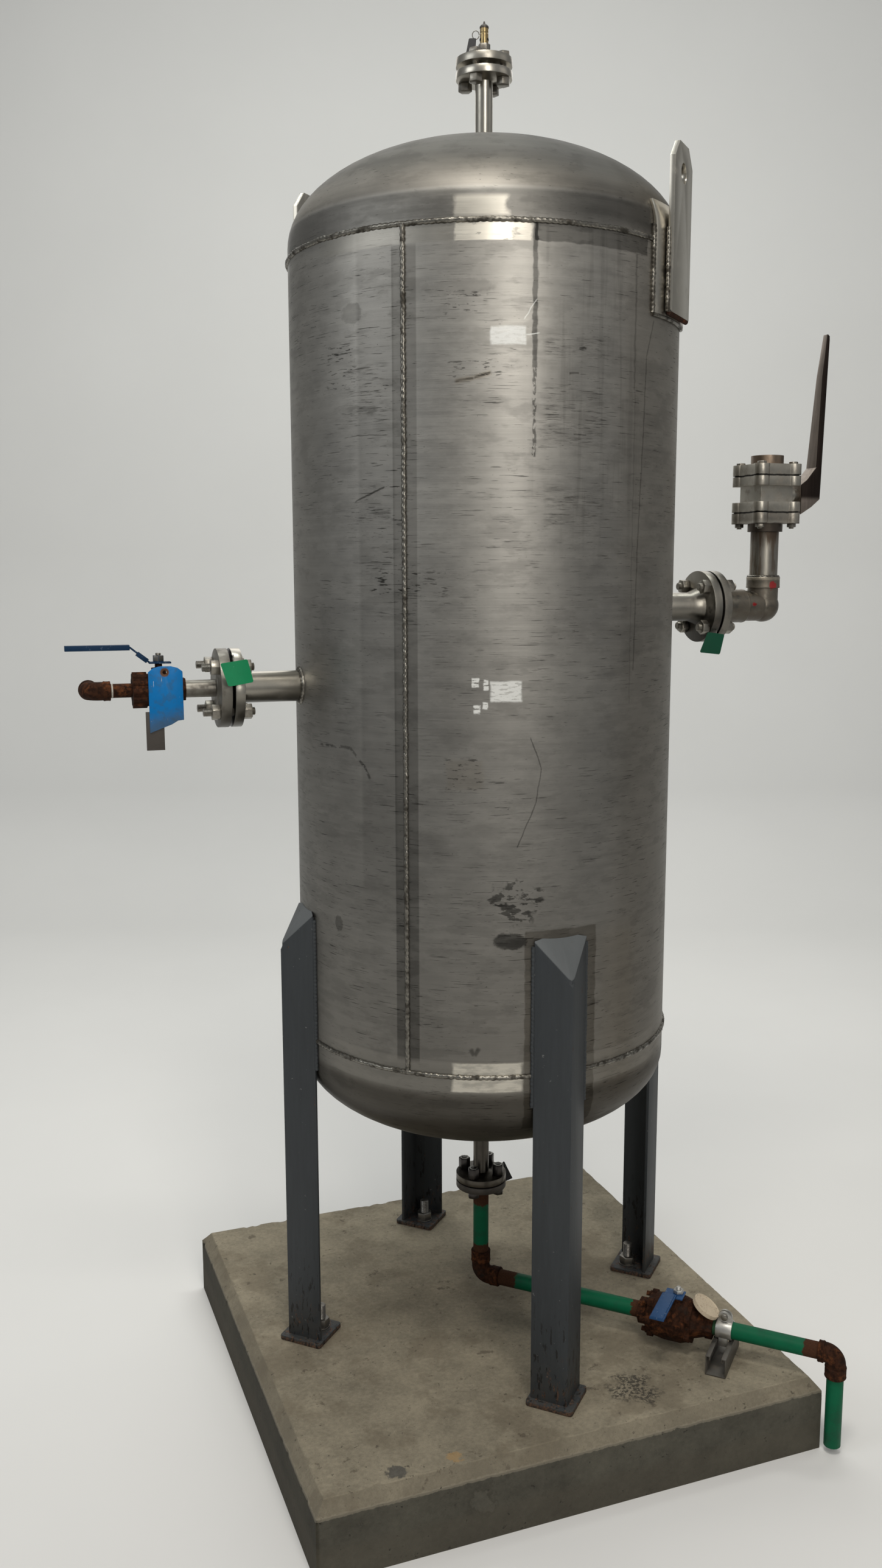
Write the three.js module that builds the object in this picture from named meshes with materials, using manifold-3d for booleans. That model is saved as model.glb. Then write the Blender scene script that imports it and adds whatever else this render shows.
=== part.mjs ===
// Vertical storage tank on four angle legs, standing on a raised concrete plinth.
// Millimetres, +Z up. The origin is on the tank's axis, at the underside of the plinth.
// The legs stand on the X and Y axes. The side nozzles point along -X and +X, and the drain line
// runs out over the plinth's corner between +X and -Y.
import * as THREE from "three";
import { mergeVertices } from "three/addons/utils/BufferGeometryUtils.js";
import Module from "manifold-3d";

const wasm = await Module();
wasm.setup();

// Driving dimensions of the tank and what it stands on
const GAP = 0.3;
const PLINTH_SIDE = 1044;
const PLINTH_HEIGHT = 150;
const PLINTH_CHAMFER = [20, 25];
const TANK_RADIUS = 381;
const TANK_WALL = 4.8;
const BOTTOM_SEAM = PLINTH_HEIGHT + 663;
const TOP_SEAM = PLINTH_HEIGHT + 2175;
const TOP_DISH = { straight: 25, depth: 195 };
const BOTTOM_DISH = { straight: 57, depth: 167 };
const ROUND = 60;

// Driving dimensions of the legs and lugs
const ANGLE_LEG = 75;
const ANGLE_THICKNESS = 6;
const LEG_HEEL_TOP = PLINTH_HEIGHT + 854;
const LEG_TOE_TOP = PLINTH_HEIGHT + 923;
const FOOT_SIDE = 95;
const FOOT_THICKNESS = 10;
const FOOT_RADIUS = 388;
const PAD_THICKNESS = 6;
const PAD_HALF_ANGLE = 14;
const PAD_BOTTOM = PLINTH_HEIGHT + 2049;
const PAD_TOP = PLINTH_HEIGHT + 2244;
const LUG_AZIMUTH = -46;
const LUG_WIDTH = 114;
const LUG_THICKNESS = 10;
const LUG_BOTTOM = PLINTH_HEIGHT + 2055;
const LUG_TOP = PLINTH_HEIGHT + 2353.5;
const LUG_CORNER = [28, 31];
const LUG_HOLE_RADIUS = 18;
const LUG_HOLE_HEIGHT = PLINTH_HEIGHT + 2303.5;

// Pipe and flange sizes: outer radius, bore, flange radius, rim thickness, raised face and hub
const INCH_2 = { pipe: 30.15, bore: 26.2, flange: 76.2, rim: 19, face: 46, hub: 39, hubHeight: 6 };
const INCH_1 = { pipe: 16.7, bore: 13.3, flange: 54, rim: 13.7, face: 25.4, hub: 24.5, hubHeight: 3 };
const FACE_HEIGHT = 1.6;

// Heights above the floor and reaches from the tank's axis. A rim's reach is to its outer side.
const LEFT_AZIMUTH = 177;
const LEFT_HEIGHT = PLINTH_HEIGHT + 1370;
const LEFT_RIM = 519;
const LEFT_RIM_GAP = 5;
const LEFT_STEM = 653;
const LEFT_BARREL = 31;
const LEFT_VALVE = [604.5, 703.6];
const LEFT_ELBOW = 744;
const RIGHT_HEIGHT = PLINTH_HEIGHT + 1514;
const RIGHT_RIM = 520.5;
const RIGHT_RIM_GAP = 4;
const RIGHT_PIPE_END = 562;
const RIGHT_RISER = 668;
const RIGHT_STEM_HEIGHT = PLINTH_HEIGHT + 1754;
const TOP_RIM = PLINTH_HEIGHT + 2532;
const TOP_RIM_GAP = 9.6;
const BOTTOM_RIM = PLINTH_HEIGHT + 285;
const BOTTOM_RIM_GAP = 3;
const DRAIN_HEIGHT = PLINTH_HEIGHT + 60;
const DRAIN_VALVE = [362, 518];
const DRAIN_STEM = 443;
const CLAMP_REACH = 541;
const SPOUT_REACH = 762;
const SPOUT_END = 14.5;

// Finishes
const finish = (color, roughness, metalness) =>
  new THREE.MeshStandardMaterial({ color, roughness, metalness });
const stainless = finish(0x77726a, 0.42, 0.85);
const bright = finish(0xa39d92, 0.35, 0.9);
const darkSteel = finish(0x39332f, 0.6, 0.5);
const paint = finish(0x434b4e, 0.6, 0.1);
const rust = finish(0x45291c, 0.85, 0.2);
const green = finish(0x0d6b45, 0.5, 0.0);
const brass = finish(0xa98d55, 0.4, 0.9);
const gasketBlack = finish(0x141312, 0.8, 0.0);
const blueGrip = finish(0x2f5678, 0.55, 0.0);
const bluePlate = finish(0x1567a8, 0.5, 0.0);
const brownPlate = finish(0x3a302a, 0.6, 0.3);
const concrete = finish(0x8f8570, 0.9, 0.0);

// A closed geometry as a solid that can be joined and cut
function solid(shape) {
  if (!shape.isBufferGeometry) return shape;
  const bare = shape.clone();
  bare.deleteAttribute("normal");
  bare.deleteAttribute("uv");
  const merged = mergeVertices(bare, 1e-4);
  const corners = [];
  for (let i = 0; i < merged.index.count; i += 3) {
    const [a, b, c] = [0, 1, 2].map((k) => merged.index.getX(i + k));
    if (a !== b && b !== c && c !== a) corners.push(a, b, c);
  }
  return new wasm.Manifold(
    new wasm.Mesh({
      numProp: 3,
      vertProperties: merged.attributes.position.array,
      triVerts: new Uint32Array(corners),
    }),
  );
}

const join = (...shapes) => shapes.map(solid).reduce((a, b) => a.add(b));
const cut = (body, ...tools) => tools.map(solid).reduce((a, b) => a.subtract(b), solid(body));
const common = (a, b) => solid(a).intersect(solid(b));

// A named mesh of a solid or a geometry
function piece(name, shape, material) {
  const m = solid(shape).getMesh();
  const geometry = new THREE.BufferGeometry();
  geometry.setAttribute("position", new THREE.BufferAttribute(new Float32Array(m.vertProperties), 3));
  geometry.setIndex(new THREE.BufferAttribute(new Uint32Array(m.triVerts), 1));
  geometry.computeVertexNormals();
  const mesh = new THREE.Mesh(geometry, material);
  mesh.name = name;
  return mesh;
}

// A profile of [radius, height] pairs turned about Z, listed upwards on the outside
function turned(profile, segments = 28) {
  const points = profile.map(([r, z]) => new THREE.Vector2(r, z));
  return new THREE.LatheGeometry(points, segments).rotateX(Math.PI / 2);
}

const rod = (radius, from, to, segments = 28) =>
  turned([[0, from], [radius, from], [radius, to], [0, to]], segments);

const tube = (inner, outer, from, to, segments = 28) =>
  turned([[inner, from], [outer, from], [outer, to], [inner, to], [inner, from]], segments);

const block = (x0, x1, y0, y1, z0, z1) =>
  new THREE.BoxGeometry(x1 - x0, y1 - y0, z1 - z0).translate((x0 + x1) / 2, (y0 + y1) / 2, (z0 + z1) / 2);

const hexagon = (acrossFlats, from, to) =>
  new THREE.CylinderGeometry(acrossFlats / Math.sqrt(3), acrossFlats / Math.sqrt(3), to - from, 6)
    .rotateX(Math.PI / 2)
    .translate(0, 0, (from + to) / 2);

// An outline in the XY plane pushed up from one height to another
function prism(outline, from, to) {
  const shape = new THREE.Shape(outline.map(([x, y]) => new THREE.Vector2(x, y)));
  return new THREE.ExtrudeGeometry(shape, { depth: to - from, bevelEnabled: false }).translate(0, 0, from);
}

// An outline of [x, z] points with a width along Y
const upright = (outline, from, to) => prism(outline, -to, -from).rotateX(Math.PI / 2);

// The outline of a flat bar that follows a path of two-number points
function bent(points, thickness) {
  const path = points.map(([x, y]) => new THREE.Vector2(x, y));
  const side = (sign) =>
    path.map((p, i) => {
      const before = p.clone().sub(path[Math.max(i - 1, 0)]);
      const after = path[Math.min(i + 1, path.length - 1)].clone().sub(p);
      const into = (before.length() ? before : after).clone().normalize();
      const out = (after.length() ? after : before).clone().normalize();
      const along = into.clone().add(out).normalize();
      const reach = (sign * thickness) / 2 / along.dot(into);
      return [p.x - along.y * reach, p.y + along.x * reach];
    });
  return [...side(-1), ...side(1).reverse()];
}

// Turns a shape drawn along Z so that it runs along X
const alongX = (shape) => shape.rotateY(Math.PI / 2);

// A quarter bend of round pipe, from the +Z leg to the +X leg, about a centre line of this radius
class QuarterBend extends THREE.Curve {
  constructor(radius) {
    super();
    this.radius = radius;
  }

  getPoint(t, target = new THREE.Vector3()) {
    const angle = (t * Math.PI) / 2;
    return target.set(this.radius * (1 - Math.cos(angle)), 0, this.radius * (1 - Math.sin(angle)));
  }
}

function circle(radius, sides = 24) {
  const outline = [];
  for (let i = 0; i < sides; i++) {
    const angle = (i * 2 * Math.PI) / sides;
    outline.push([radius * Math.cos(angle), radius * Math.sin(angle)]);
  }
  return outline;
}

// An elbow fitting from its +Z leg to its +X leg, with a thicker collar round the end of each leg
function elbow(body, collar, bendRadius, reachZ, reachX, collarZ, collarX) {
  const shape = new THREE.Shape(circle(body, 20).map(([x, y]) => new THREE.Vector2(x, y)));
  const bend = new THREE.ExtrudeGeometry(shape, {
    steps: 8,
    bevelEnabled: false,
    extrudePath: new QuarterBend(bendRadius),
  });
  const leg = (reach, length) =>
    join(rod(body, bendRadius - 0.5, reach - 1, 20), rod(collar, reach - length, reach, 24));
  return join(bend, leg(reachZ, collarZ), leg(reachX, collarX).rotate([0, 90, 0]));
}

// Between two rims: the gasket's thickness and how far each raised face stands up
function facing(gap) {
  const gasket = Math.max(1.4, gap - 2 * (FACE_HEIGHT + GAP));
  return { gasket, raised: (gap - gasket) / 2 - GAP };
}

// A nozzle turned in one piece: its pipe begins at "start", and its rim ends at "rim"
function nozzle(size, start, rim, gap) {
  const face = rim + facing(gap).raised;
  const back = rim - size.rim;
  return turned(
    [
      [size.bore, start],
      [size.pipe, start],
      [size.pipe, back - size.hubHeight],
      [size.hub, back],
      [size.flange, back],
      [size.flange, rim],
      [size.face, rim],
      [size.face, face],
      [size.bore, face],
      [size.bore, start],
    ],
    32,
  );
}

function gasket(size, rim, gap) {
  const { gasket: thickness, raised } = facing(gap);
  return tube(size.bore, size.face, rim + raised + GAP, rim + raised + GAP + thickness, 32);
}

// The flange that mates with a nozzle, with a hub and a blind middle
function companion(size, rim, gap, rimThickness, hubRadius, hubEnd) {
  const near = rim + gap;
  return turned(
    [
      [0, near - facing(gap).raised],
      [size.face, near - facing(gap).raised],
      [size.face, near],
      [size.flange, near],
      [size.flange, near + rimThickness],
      [hubRadius, near + rimThickness],
      [hubRadius, hubEnd],
      [0, hubEnd],
    ],
    32,
  );
}

// A group whose Z axis points outwards and whose X axis points up
function branch(outward, up, origin) {
  const z = new THREE.Vector3(...outward).normalize();
  const x = new THREE.Vector3(...up).normalize();
  const group = new THREE.Group();
  group.quaternion.setFromRotationMatrix(new THREE.Matrix4().makeBasis(x, z.clone().cross(x), z));
  group.position.set(...origin);
  return group;
}

const root = new THREE.Group();
const degrees = (angle) => (angle * Math.PI) / 180;

// Concrete plinth
const [chamferRun, chamferDrop] = PLINTH_CHAMFER;
const corner = (side) => (side / 2) * Math.SQRT2;
const plinthTop = new THREE.CylinderGeometry(
  corner(PLINTH_SIDE - 2 * chamferRun),
  corner(PLINTH_SIDE),
  chamferDrop,
  4,
)
  .rotateX(Math.PI / 2)
  .rotateZ(Math.PI / 4)
  .translate(0, 0, PLINTH_HEIGHT - chamferDrop / 2);
const half = PLINTH_SIDE / 2;
root.add(
  piece("plinth", join(block(-half, half, -half, half, 0, PLINTH_HEIGHT - chamferDrop), plinthTop), concrete),
);

// Shell with its two side holes
const sideHole = (height, azimuth) =>
  alongX(rod(INCH_2.pipe + GAP, 0, TANK_RADIUS + 20)).rotateZ(degrees(azimuth)).translate(0, 0, height);
root.add(
  piece(
    "shell",
    cut(
      tube(TANK_RADIUS - TANK_WALL, TANK_RADIUS, BOTTOM_SEAM, TOP_SEAM, ROUND),
      sideHole(LEFT_HEIGHT, LEFT_AZIMUTH),
      sideHole(RIGHT_HEIGHT, 0),
    ),
    stainless,
  ),
);

// Radius of an elliptical head's outside at a height above its straight flange
const headRadius = (height, dish) => TANK_RADIUS * Math.sqrt(Math.max(0, 1 - (height / dish.depth) ** 2));

// Dished head, open side down, its seam at height 0 and its centre hole for the nozzle pipe
function head(dish, holeRadius) {
  const steps = 8;
  const curve = (wall) => {
    const points = [];
    const last = Math.acos(holeRadius / (TANK_RADIUS - wall));
    for (let i = 0; i <= steps; i++) {
      const angle = (last * i) / steps;
      const [radius, rise] = [TANK_RADIUS - wall, dish.depth - wall];
      points.push([radius * Math.cos(angle), dish.straight + rise * Math.sin(angle)]);
    }
    return points;
  };
  const inner = curve(TANK_WALL).reverse();
  return turned(
    [[TANK_RADIUS, GAP], ...curve(0), ...inner, [TANK_RADIUS - TANK_WALL, GAP], [TANK_RADIUS, GAP]],
    ROUND,
  );
}

const topHead = piece("top_head", head(TOP_DISH, INCH_1.pipe + GAP), stainless);
topHead.position.z = TOP_SEAM;
const bottomHead = piece("bottom_head", head(BOTTOM_DISH, INCH_1.pipe + GAP), stainless);
bottomHead.position.z = BOTTOM_SEAM;
bottomHead.rotation.x = Math.PI;
root.add(topHead, bottomHead);

// Legs: steel angles with the heel outwards, cut to a slope and capped at the top
const toeSpread = ANGLE_LEG / Math.SQRT2;
const innerToe = toeSpread - ANGLE_THICKNESS / Math.SQRT2;
const shellTouch = TANK_RADIUS + GAP;
const HEEL_RADIUS =
  Math.sqrt(shellTouch ** 2 - innerToe ** 2) + toeSpread + ANGLE_THICKNESS / Math.SQRT2;

function legSolid() {
  const toeX = HEEL_RADIUS - toeSpread;
  const skin = ANGLE_THICKNESS / Math.SQRT2;
  const foot = PLINTH_HEIGHT + 2 * GAP + FOOT_THICKNESS;
  const outline = [
    [HEEL_RADIUS, 0],
    [toeX, toeSpread],
    [toeX - skin, toeSpread - skin],
    [HEEL_RADIUS - 2 * skin, 0],
    [toeX - skin, skin - toeSpread],
    [toeX, -toeSpread],
  ];
  const slope = (LEG_TOE_TOP - LEG_HEEL_TOP) / toeSpread;
  const capDrop = ANGLE_THICKNESS * Math.hypot(1, slope);
  const inside = HEEL_RADIUS - 2 * toeSpread;
  const outside = HEEL_RADIUS + toeSpread;
  const slopeAt = (x) => LEG_HEEL_TOP + (HEEL_RADIUS - x) * slope;
  // The space between two sloping planes, each so far below the leg's sloping top
  const layer = (drop, lower) =>
    upright(
      [
        [inside, slopeAt(inside) - lower],
        [outside, slopeAt(outside) - lower],
        [outside, slopeAt(outside) - drop],
        [inside, slopeAt(inside) - drop],
      ],
      -100,
      100,
    );
  const angle = cut(prism(outline, foot, LEG_TOE_TOP + 30), layer(-400, capDrop));
  const cover = [
    [HEEL_RADIUS - 6, -6],
    [HEEL_RADIUS - 3.5, 0],
    [HEEL_RADIUS - 6, 6],
    [toeX, toeSpread],
    [toeX - 2 * skin, 0],
    [toeX, -toeSpread],
  ];
  const cap = common(prism(cover, LEG_HEEL_TOP - 60, LEG_TOE_TOP + 60), layer(0, capDrop + 0.5));
  return cut(join(angle, cap), rod(shellTouch, BOTTOM_SEAM - 300, TOP_SEAM, 4 * ROUND));
}

// Foot plates: square, rounded at the corners, turned with the angle's two legs
function footPlate() {
  const radius = 6;
  const reach = FOOT_SIDE / 2 - radius;
  const outline = [];
  for (const [sx, sy, start] of [[1, 1, 0], [-1, 1, 90], [-1, -1, 180], [1, -1, 270]]) {
    for (let i = 0; i <= 3; i++) {
      const angle = degrees(start + i * 30);
      outline.push([sx * reach + radius * Math.cos(angle), sy * reach + radius * Math.sin(angle)]);
    }
  }
  return prism(outline, 0, FOOT_THICKNESS).rotateZ(Math.PI / 4).translate(FOOT_RADIUS, 0, PLINTH_HEIGHT + GAP);
}

for (const [side, azimuth] of [["right", 0], ["back", 90], ["left", 180], ["front", 270]]) {
  const group = new THREE.Group();
  group.rotation.z = degrees(azimuth);
  group.add(piece("leg_" + side, legSolid(), paint), piece("foot_" + side, footPlate(), paint));
  root.add(group);
}

// Lifting lugs: a flat bar with a shackle hole, on a pad that follows the shell and the head's knuckle
function lugSolid() {
  const straightEnd = TOP_SEAM + TOP_DISH.straight;
  const inner = [[shellTouch, PAD_BOTTOM]];
  for (let i = 0; i <= 4; i++) {
    const rise = ((PAD_TOP - straightEnd) * i) / 4;
    inner.push([headRadius(rise, TOP_DISH) + GAP, straightEnd + rise]);
  }
  const outer = inner.map(([r, z]) => [r + PAD_THICKNESS, z]);
  const ring = turned([...outer, ...inner.slice().reverse(), outer[0]], 2 * ROUND);
  const reach = 600;
  const [c, s] = [Math.cos(degrees(PAD_HALF_ANGLE)), Math.sin(degrees(PAD_HALF_ANGLE))];
  const pad = common(ring, prism([[0, 0], [reach * c, -reach * s], [reach * c, reach * s]], 0, 3000));
  const [run, drop] = LUG_CORNER;
  const edge = LUG_WIDTH / 2;
  const side = [
    [-edge, LUG_BOTTOM],
    [edge, LUG_BOTTOM],
    [edge, LUG_TOP - drop],
    [edge - run, LUG_TOP],
    [run - edge, LUG_TOP],
    [-edge, LUG_TOP - drop],
  ];
  const inside = TANK_RADIUS + GAP + PAD_THICKNESS - 0.6;
  const bar = upright(side, -LUG_THICKNESS, 0).rotateZ(Math.PI / 2).translate(inside, 0, 0);
  const hole = alongX(rod(LUG_HOLE_RADIUS, 0, 600, 24)).translate(0, 0, LUG_HOLE_HEIGHT);
  return cut(join(pad, bar), hole);
}

for (const [name, azimuth] of [["lug_near", LUG_AZIMUTH], ["lug_far", LUG_AZIMUTH + 180]]) {
  const group = new THREE.Group();
  group.rotation.z = degrees(azimuth);
  group.add(piece(name, lugSolid(), stainless));
  root.add(group);
}

// Top nozzle with its cover flange and relief valve
const topRimFar = TOP_RIM + TOP_RIM_GAP + INCH_1.rim;
const nozzleTopStart = TOP_SEAM + TOP_DISH.straight + TOP_DISH.depth - 30;
const reliefSeat = topRimFar + 1.5 + GAP;
root.add(
  piece("top_nozzle", nozzle(INCH_1, nozzleTopStart, TOP_RIM, TOP_RIM_GAP), stainless),
  piece("top_gasket", gasket(INCH_1, TOP_RIM, TOP_RIM_GAP), gasketBlack),
  piece("top_cover_flange", companion(INCH_1, TOP_RIM, TOP_RIM_GAP, INCH_1.rim, 15, topRimFar + 1.5), stainless),
);
const ventHole = (turn) =>
  alongX(rod(1.8, -20, 20, 10)).rotateZ(degrees(turn)).translate(0, 0, reliefSeat + 34);
root.add(
  piece(
    "relief_valve",
    cut(
      join(
        hexagon(22, reliefSeat, reliefSeat + 26),
        turned(
          [
            [0, reliefSeat + 25],
            [8.2, reliefSeat + 25],
            [8.2, reliefSeat + 56],
            [6, reliefSeat + 60],
            [2.2, reliefSeat + 61],
            [1.2, reliefSeat + 67],
            [0, reliefSeat + 67],
          ],
          20,
        ),
      ),
      ventHole(20),
      ventHole(110),
    ),
    brass,
  ),
);

// Bottom nozzle and its companion flange, in a group whose Z points down
const below = branch([0, 0, -1], [1, 0, 0], [0, 0, 0]);
const nozzleBottomStart = BOTTOM_DISH.straight + BOTTOM_DISH.depth - BOTTOM_SEAM - 30;
const drainHubEnd = BOTTOM_RIM_GAP + INCH_1.rim + 10 - BOTTOM_RIM;
below.add(
  piece("bottom_nozzle", nozzle(INCH_1, nozzleBottomStart, -BOTTOM_RIM, BOTTOM_RIM_GAP), stainless),
  piece("bottom_gasket", gasket(INCH_1, -BOTTOM_RIM, BOTTOM_RIM_GAP), gasketBlack),
  piece("drain_flange", companion(INCH_1, -BOTTOM_RIM, BOTTOM_RIM_GAP, INCH_1.rim, 24.5, drainHubEnd), darkSteel),
);
root.add(below);

// Drain line in a group whose Z runs out over the plinth's corner, X up, Y sideways
const line = branch([1, -1, 0], [0, 0, 1], [0, 0, DRAIN_HEIGHT]);
const FIRST_ELBOW = { up: 55, out: 45 };
const downpipe = rod(INCH_1.pipe, FIRST_ELBOW.up + GAP, -drainHubEnd - DRAIN_HEIGHT - GAP, 24);
const drainRun = rod(INCH_1.pipe, FIRST_ELBOW.out + GAP, DRAIN_VALVE[0] - GAP, 24);
line.add(
  piece("drain_downpipe", alongX(downpipe), green),
  piece("drain_elbow", elbow(19.5, 21.4, 21, FIRST_ELBOW.out, FIRST_ELBOW.up, 20, 26), rust),
  piece("drain_run", drainRun, green),
);

// A plate with rounded lobes for its bolts
function lobes(radius, count, lobeRadius, core, from, to, turn = 0) {
  const parts = [rod(core, from, to, 24)];
  for (let i = 0; i < count; i++) {
    const angle = degrees(turn + (360 * i) / count);
    parts.push(rod(lobeRadius, from, to, 12).translate(radius * Math.cos(angle), radius * Math.sin(angle), 0));
  }
  return join(...parts);
}

const drainSeat = 51.5;
const [drainIn, drainOut] = DRAIN_VALVE;
line.add(
  piece(
    "drain_valve",
    join(
      hexagon(46, drainIn, drainIn + 24),
      lobes(35, 6, 12, 40, drainIn + 23, drainIn + 35, 30),
      turned([
        [0, drainIn + 34],
        [43, drainIn + 34],
        [47, DRAIN_STEM - 20],
        [47, DRAIN_STEM + 12],
        [43, DRAIN_STEM + 24],
        [0, DRAIN_STEM + 24],
      ]),
      lobes(35, 6, 12, 40, DRAIN_STEM + 22, DRAIN_STEM + 33, 0),
      turned([[0, DRAIN_STEM + 32], [34, DRAIN_STEM + 32], [24, drainOut - 14], [0, drainOut - 14]]),
      hexagon(46, drainOut - 15, drainOut),
      alongX(rod(16, 30, drainSeat - 2, 16)).translate(0, 0, DRAIN_STEM),
      alongX(rod(8, 30, drainSeat, 12)).translate(0, 0, DRAIN_STEM),
    ),
    rust,
  ),
);

// Drain lever, shut: a hub plate and a sleeved grip set off to one side, pointing sideways off the line
const leverSeat = drainSeat + GAP;
const drainLever = join(
  block(leverSeat, leverSeat + 3, -13, 20, -27, 13),
  prism(
    bent([[leverSeat + 1.5, 8], [leverSeat + 1.5, 12], [leverSeat + 6, 18], [leverSeat + 6, 118]], 4),
    -29,
    0,
  ),
  prism(bent([[leverSeat + 9, 20], [leverSeat + 9, 118]], 3), -26.5, -2.5),
  alongX(hexagon(19, leverSeat + 2, leverSeat + 12)),
);
line.add(piece("drain_lever", drainLever.translate([0, 0, DRAIN_STEM]), blueGrip));

// Outlet pipe, street elbow and open spout
const SPOUT_ELBOW = { back: 34, down: 47 };
const spoutTop = SPOUT_ELBOW.down + GAP;
const spoutLow = DRAIN_HEIGHT - SPOUT_END;
const spout = cut(rod(INCH_1.pipe, spoutTop, spoutLow, 24), rod(INCH_1.bore, spoutLow - 60, spoutLow + 1, 24));
line.add(
  piece("drain_outlet", rod(INCH_1.pipe, drainOut + GAP, SPOUT_REACH - SPOUT_ELBOW.back - GAP, 24), green),
  piece(
    "outlet_elbow",
    elbow(19.5, 21.4, 21, SPOUT_ELBOW.back, SPOUT_ELBOW.down, 12, 24)
      .rotate([0, 180, 0])
      .translate([0, 0, SPOUT_REACH]),
    rust,
  ),
  piece("spout", spout.rotate([0, -90, 0]).translate([0, 0, SPOUT_REACH]), green),
);

// Channel strut laid open side up on the plinth
const strutSide = 41.3;
const strutSheet = 2.5;
const strutLip = 11;
const strutLow = PLINTH_HEIGHT + GAP - DRAIN_HEIGHT;
const strutHigh = strutLow + strutSide;
const strutHalf = [
  [strutLow, -strutSide / 2],
  [strutHigh, -strutSide / 2],
  [strutHigh, -strutLip],
  [strutHigh - 9, -strutLip],
  [strutHigh - 9, -strutLip - strutSheet],
  [strutHigh - strutSheet, -strutLip - strutSheet],
  [strutHigh - strutSheet, strutSheet - strutSide / 2],
  [strutLow + strutSheet, strutSheet - strutSide / 2],
];
const strutOther = strutHalf.map(([x, z]) => [x, -z]).reverse();
const strut = upright([...strutHalf, ...strutOther], -48, 80).translate(0, 0, CLAMP_REACH);

// Pipe clamp: a strap round the pipe with two round bolted ears on top and two tongues down in the slot
const strap = cut(
  tube(INCH_1.pipe + GAP, INCH_1.pipe + 3.3, -16, 16, 24),
  block(-40, strutHigh + GAP, -40, 40, -20, 20),
);
const earRound = rod(14, -10, 10, 20).rotateX(Math.PI / 2).translate(26, 0, 0);
const ear = (low, high) => common(
  join(block(10, 26, -10, 10, -14, 14), earRound),
  block(18.5, 60, low, high, -20, 20),
);
const clamp = join(
  strap,
  ear(-6.5, -2.5),
  ear(2.5, 6.5),
  block(18, 22, -6.5, 6.5, -13, 13),
  rod(5, -12, 12, 12).rotateX(Math.PI / 2).translate(30, 0, 0),
  block(strutHigh - 12, -13, 12, 16, -9, 9),
  block(strutHigh - 12, -13, -16, -12, -9, 9),
);
line.add(
  piece("strut", strut, darkSteel),
  piece("pipe_clamp", clamp.translate([0, 0, CLAMP_REACH]), bright),
);
root.add(line);

// Left branch: nozzle, reducing flange, stub, ball valve, nipple and an open elbow
const leftward = degrees(LEFT_AZIMUTH);
const left = branch([Math.cos(leftward), Math.sin(leftward), 0], [0, 0, 1], [0, 0, LEFT_HEIGHT]);
const nozzleInside = TANK_RADIUS - TANK_WALL - 8;
const leftHubEnd = LEFT_RIM + LEFT_RIM_GAP + 21 + 2;
const [leftIn, leftOut] = LEFT_VALVE;
left.add(
  piece("left_nozzle", nozzle(INCH_2, nozzleInside, LEFT_RIM, LEFT_RIM_GAP), stainless),
  piece("left_gasket", gasket(INCH_2, LEFT_RIM, LEFT_RIM_GAP), gasketBlack),
  piece("left_reducing_flange", companion(INCH_2, LEFT_RIM, LEFT_RIM_GAP, 21, 31, leftHubEnd), darkSteel),
  piece("left_stub", rod(INCH_1.pipe, leftHubEnd + GAP, leftIn - GAP, 24), stainless),
);
const leftSeat = 49.7;
left.add(
  piece(
    "left_valve",
    join(
      hexagon(42, leftIn, leftIn + 18),
      rod(LEFT_BARREL, leftIn + 16, leftIn + 74, 24),
      lobes(29, 12, 5.5, 31, leftIn + 72, leftOut),
      alongX(rod(14, 20, 42, 16)).translate(0, 0, LEFT_STEM),
      alongX(rod(7, 20, leftSeat, 12)).translate(0, 0, LEFT_STEM),
    ),
    rust,
  ),
);

// Left lever, open: a hub plate, a sleeved sloping arm and a level grip that points outwards
const armStart = leftSeat + GAP;
const gripRise = 81;
const gripStart = LEFT_STEM + 53;
const leftLever = join(
  block(armStart, armStart + 3, -12, 12, LEFT_STEM - 23, LEFT_STEM + 18),
  upright(
    bent(
      [
        [armStart + 1.5, LEFT_STEM + 10],
        [armStart + 1.5, LEFT_STEM + 16],
        [gripRise, LEFT_STEM + 52],
        [gripRise, gripStart + 12],
      ],
      3.5,
    ),
    -8,
    8,
  ),
  upright(bent([[armStart + 5, LEFT_STEM + 21], [armStart + 19, LEFT_STEM + 39]], 9), -10, 10),
  upright(bent([[gripRise, gripStart], [gripRise, gripStart + 118]], 9.8), -10.5, 10.5),
  alongX(hexagon(19, armStart + 2, armStart + 15)).translate(0, 0, LEFT_STEM),
);
const LEFT_LEGS = { back: 38.5, side: 38.5 };
const leftCentre = LEFT_ELBOW + LEFT_LEGS.back;
const leftElbow = cut(
  elbow(17.5, 18.9, 19, LEFT_LEGS.back, LEFT_LEGS.side, 14, 14),
  alongX(rod(INCH_1.bore - 1, LEFT_LEGS.side - 20, LEFT_LEGS.side + 1, 20)),
);
left.add(
  piece("left_lever", leftLever, blueGrip),
  piece("left_nipple", rod(13.35, leftOut + GAP, LEFT_ELBOW - GAP, 20), rust),
  piece("left_elbow", leftElbow.rotate([0, 180, 0]).rotate([0, 0, -90]).translate([0, 0, leftCentre]), rust),
);

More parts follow.
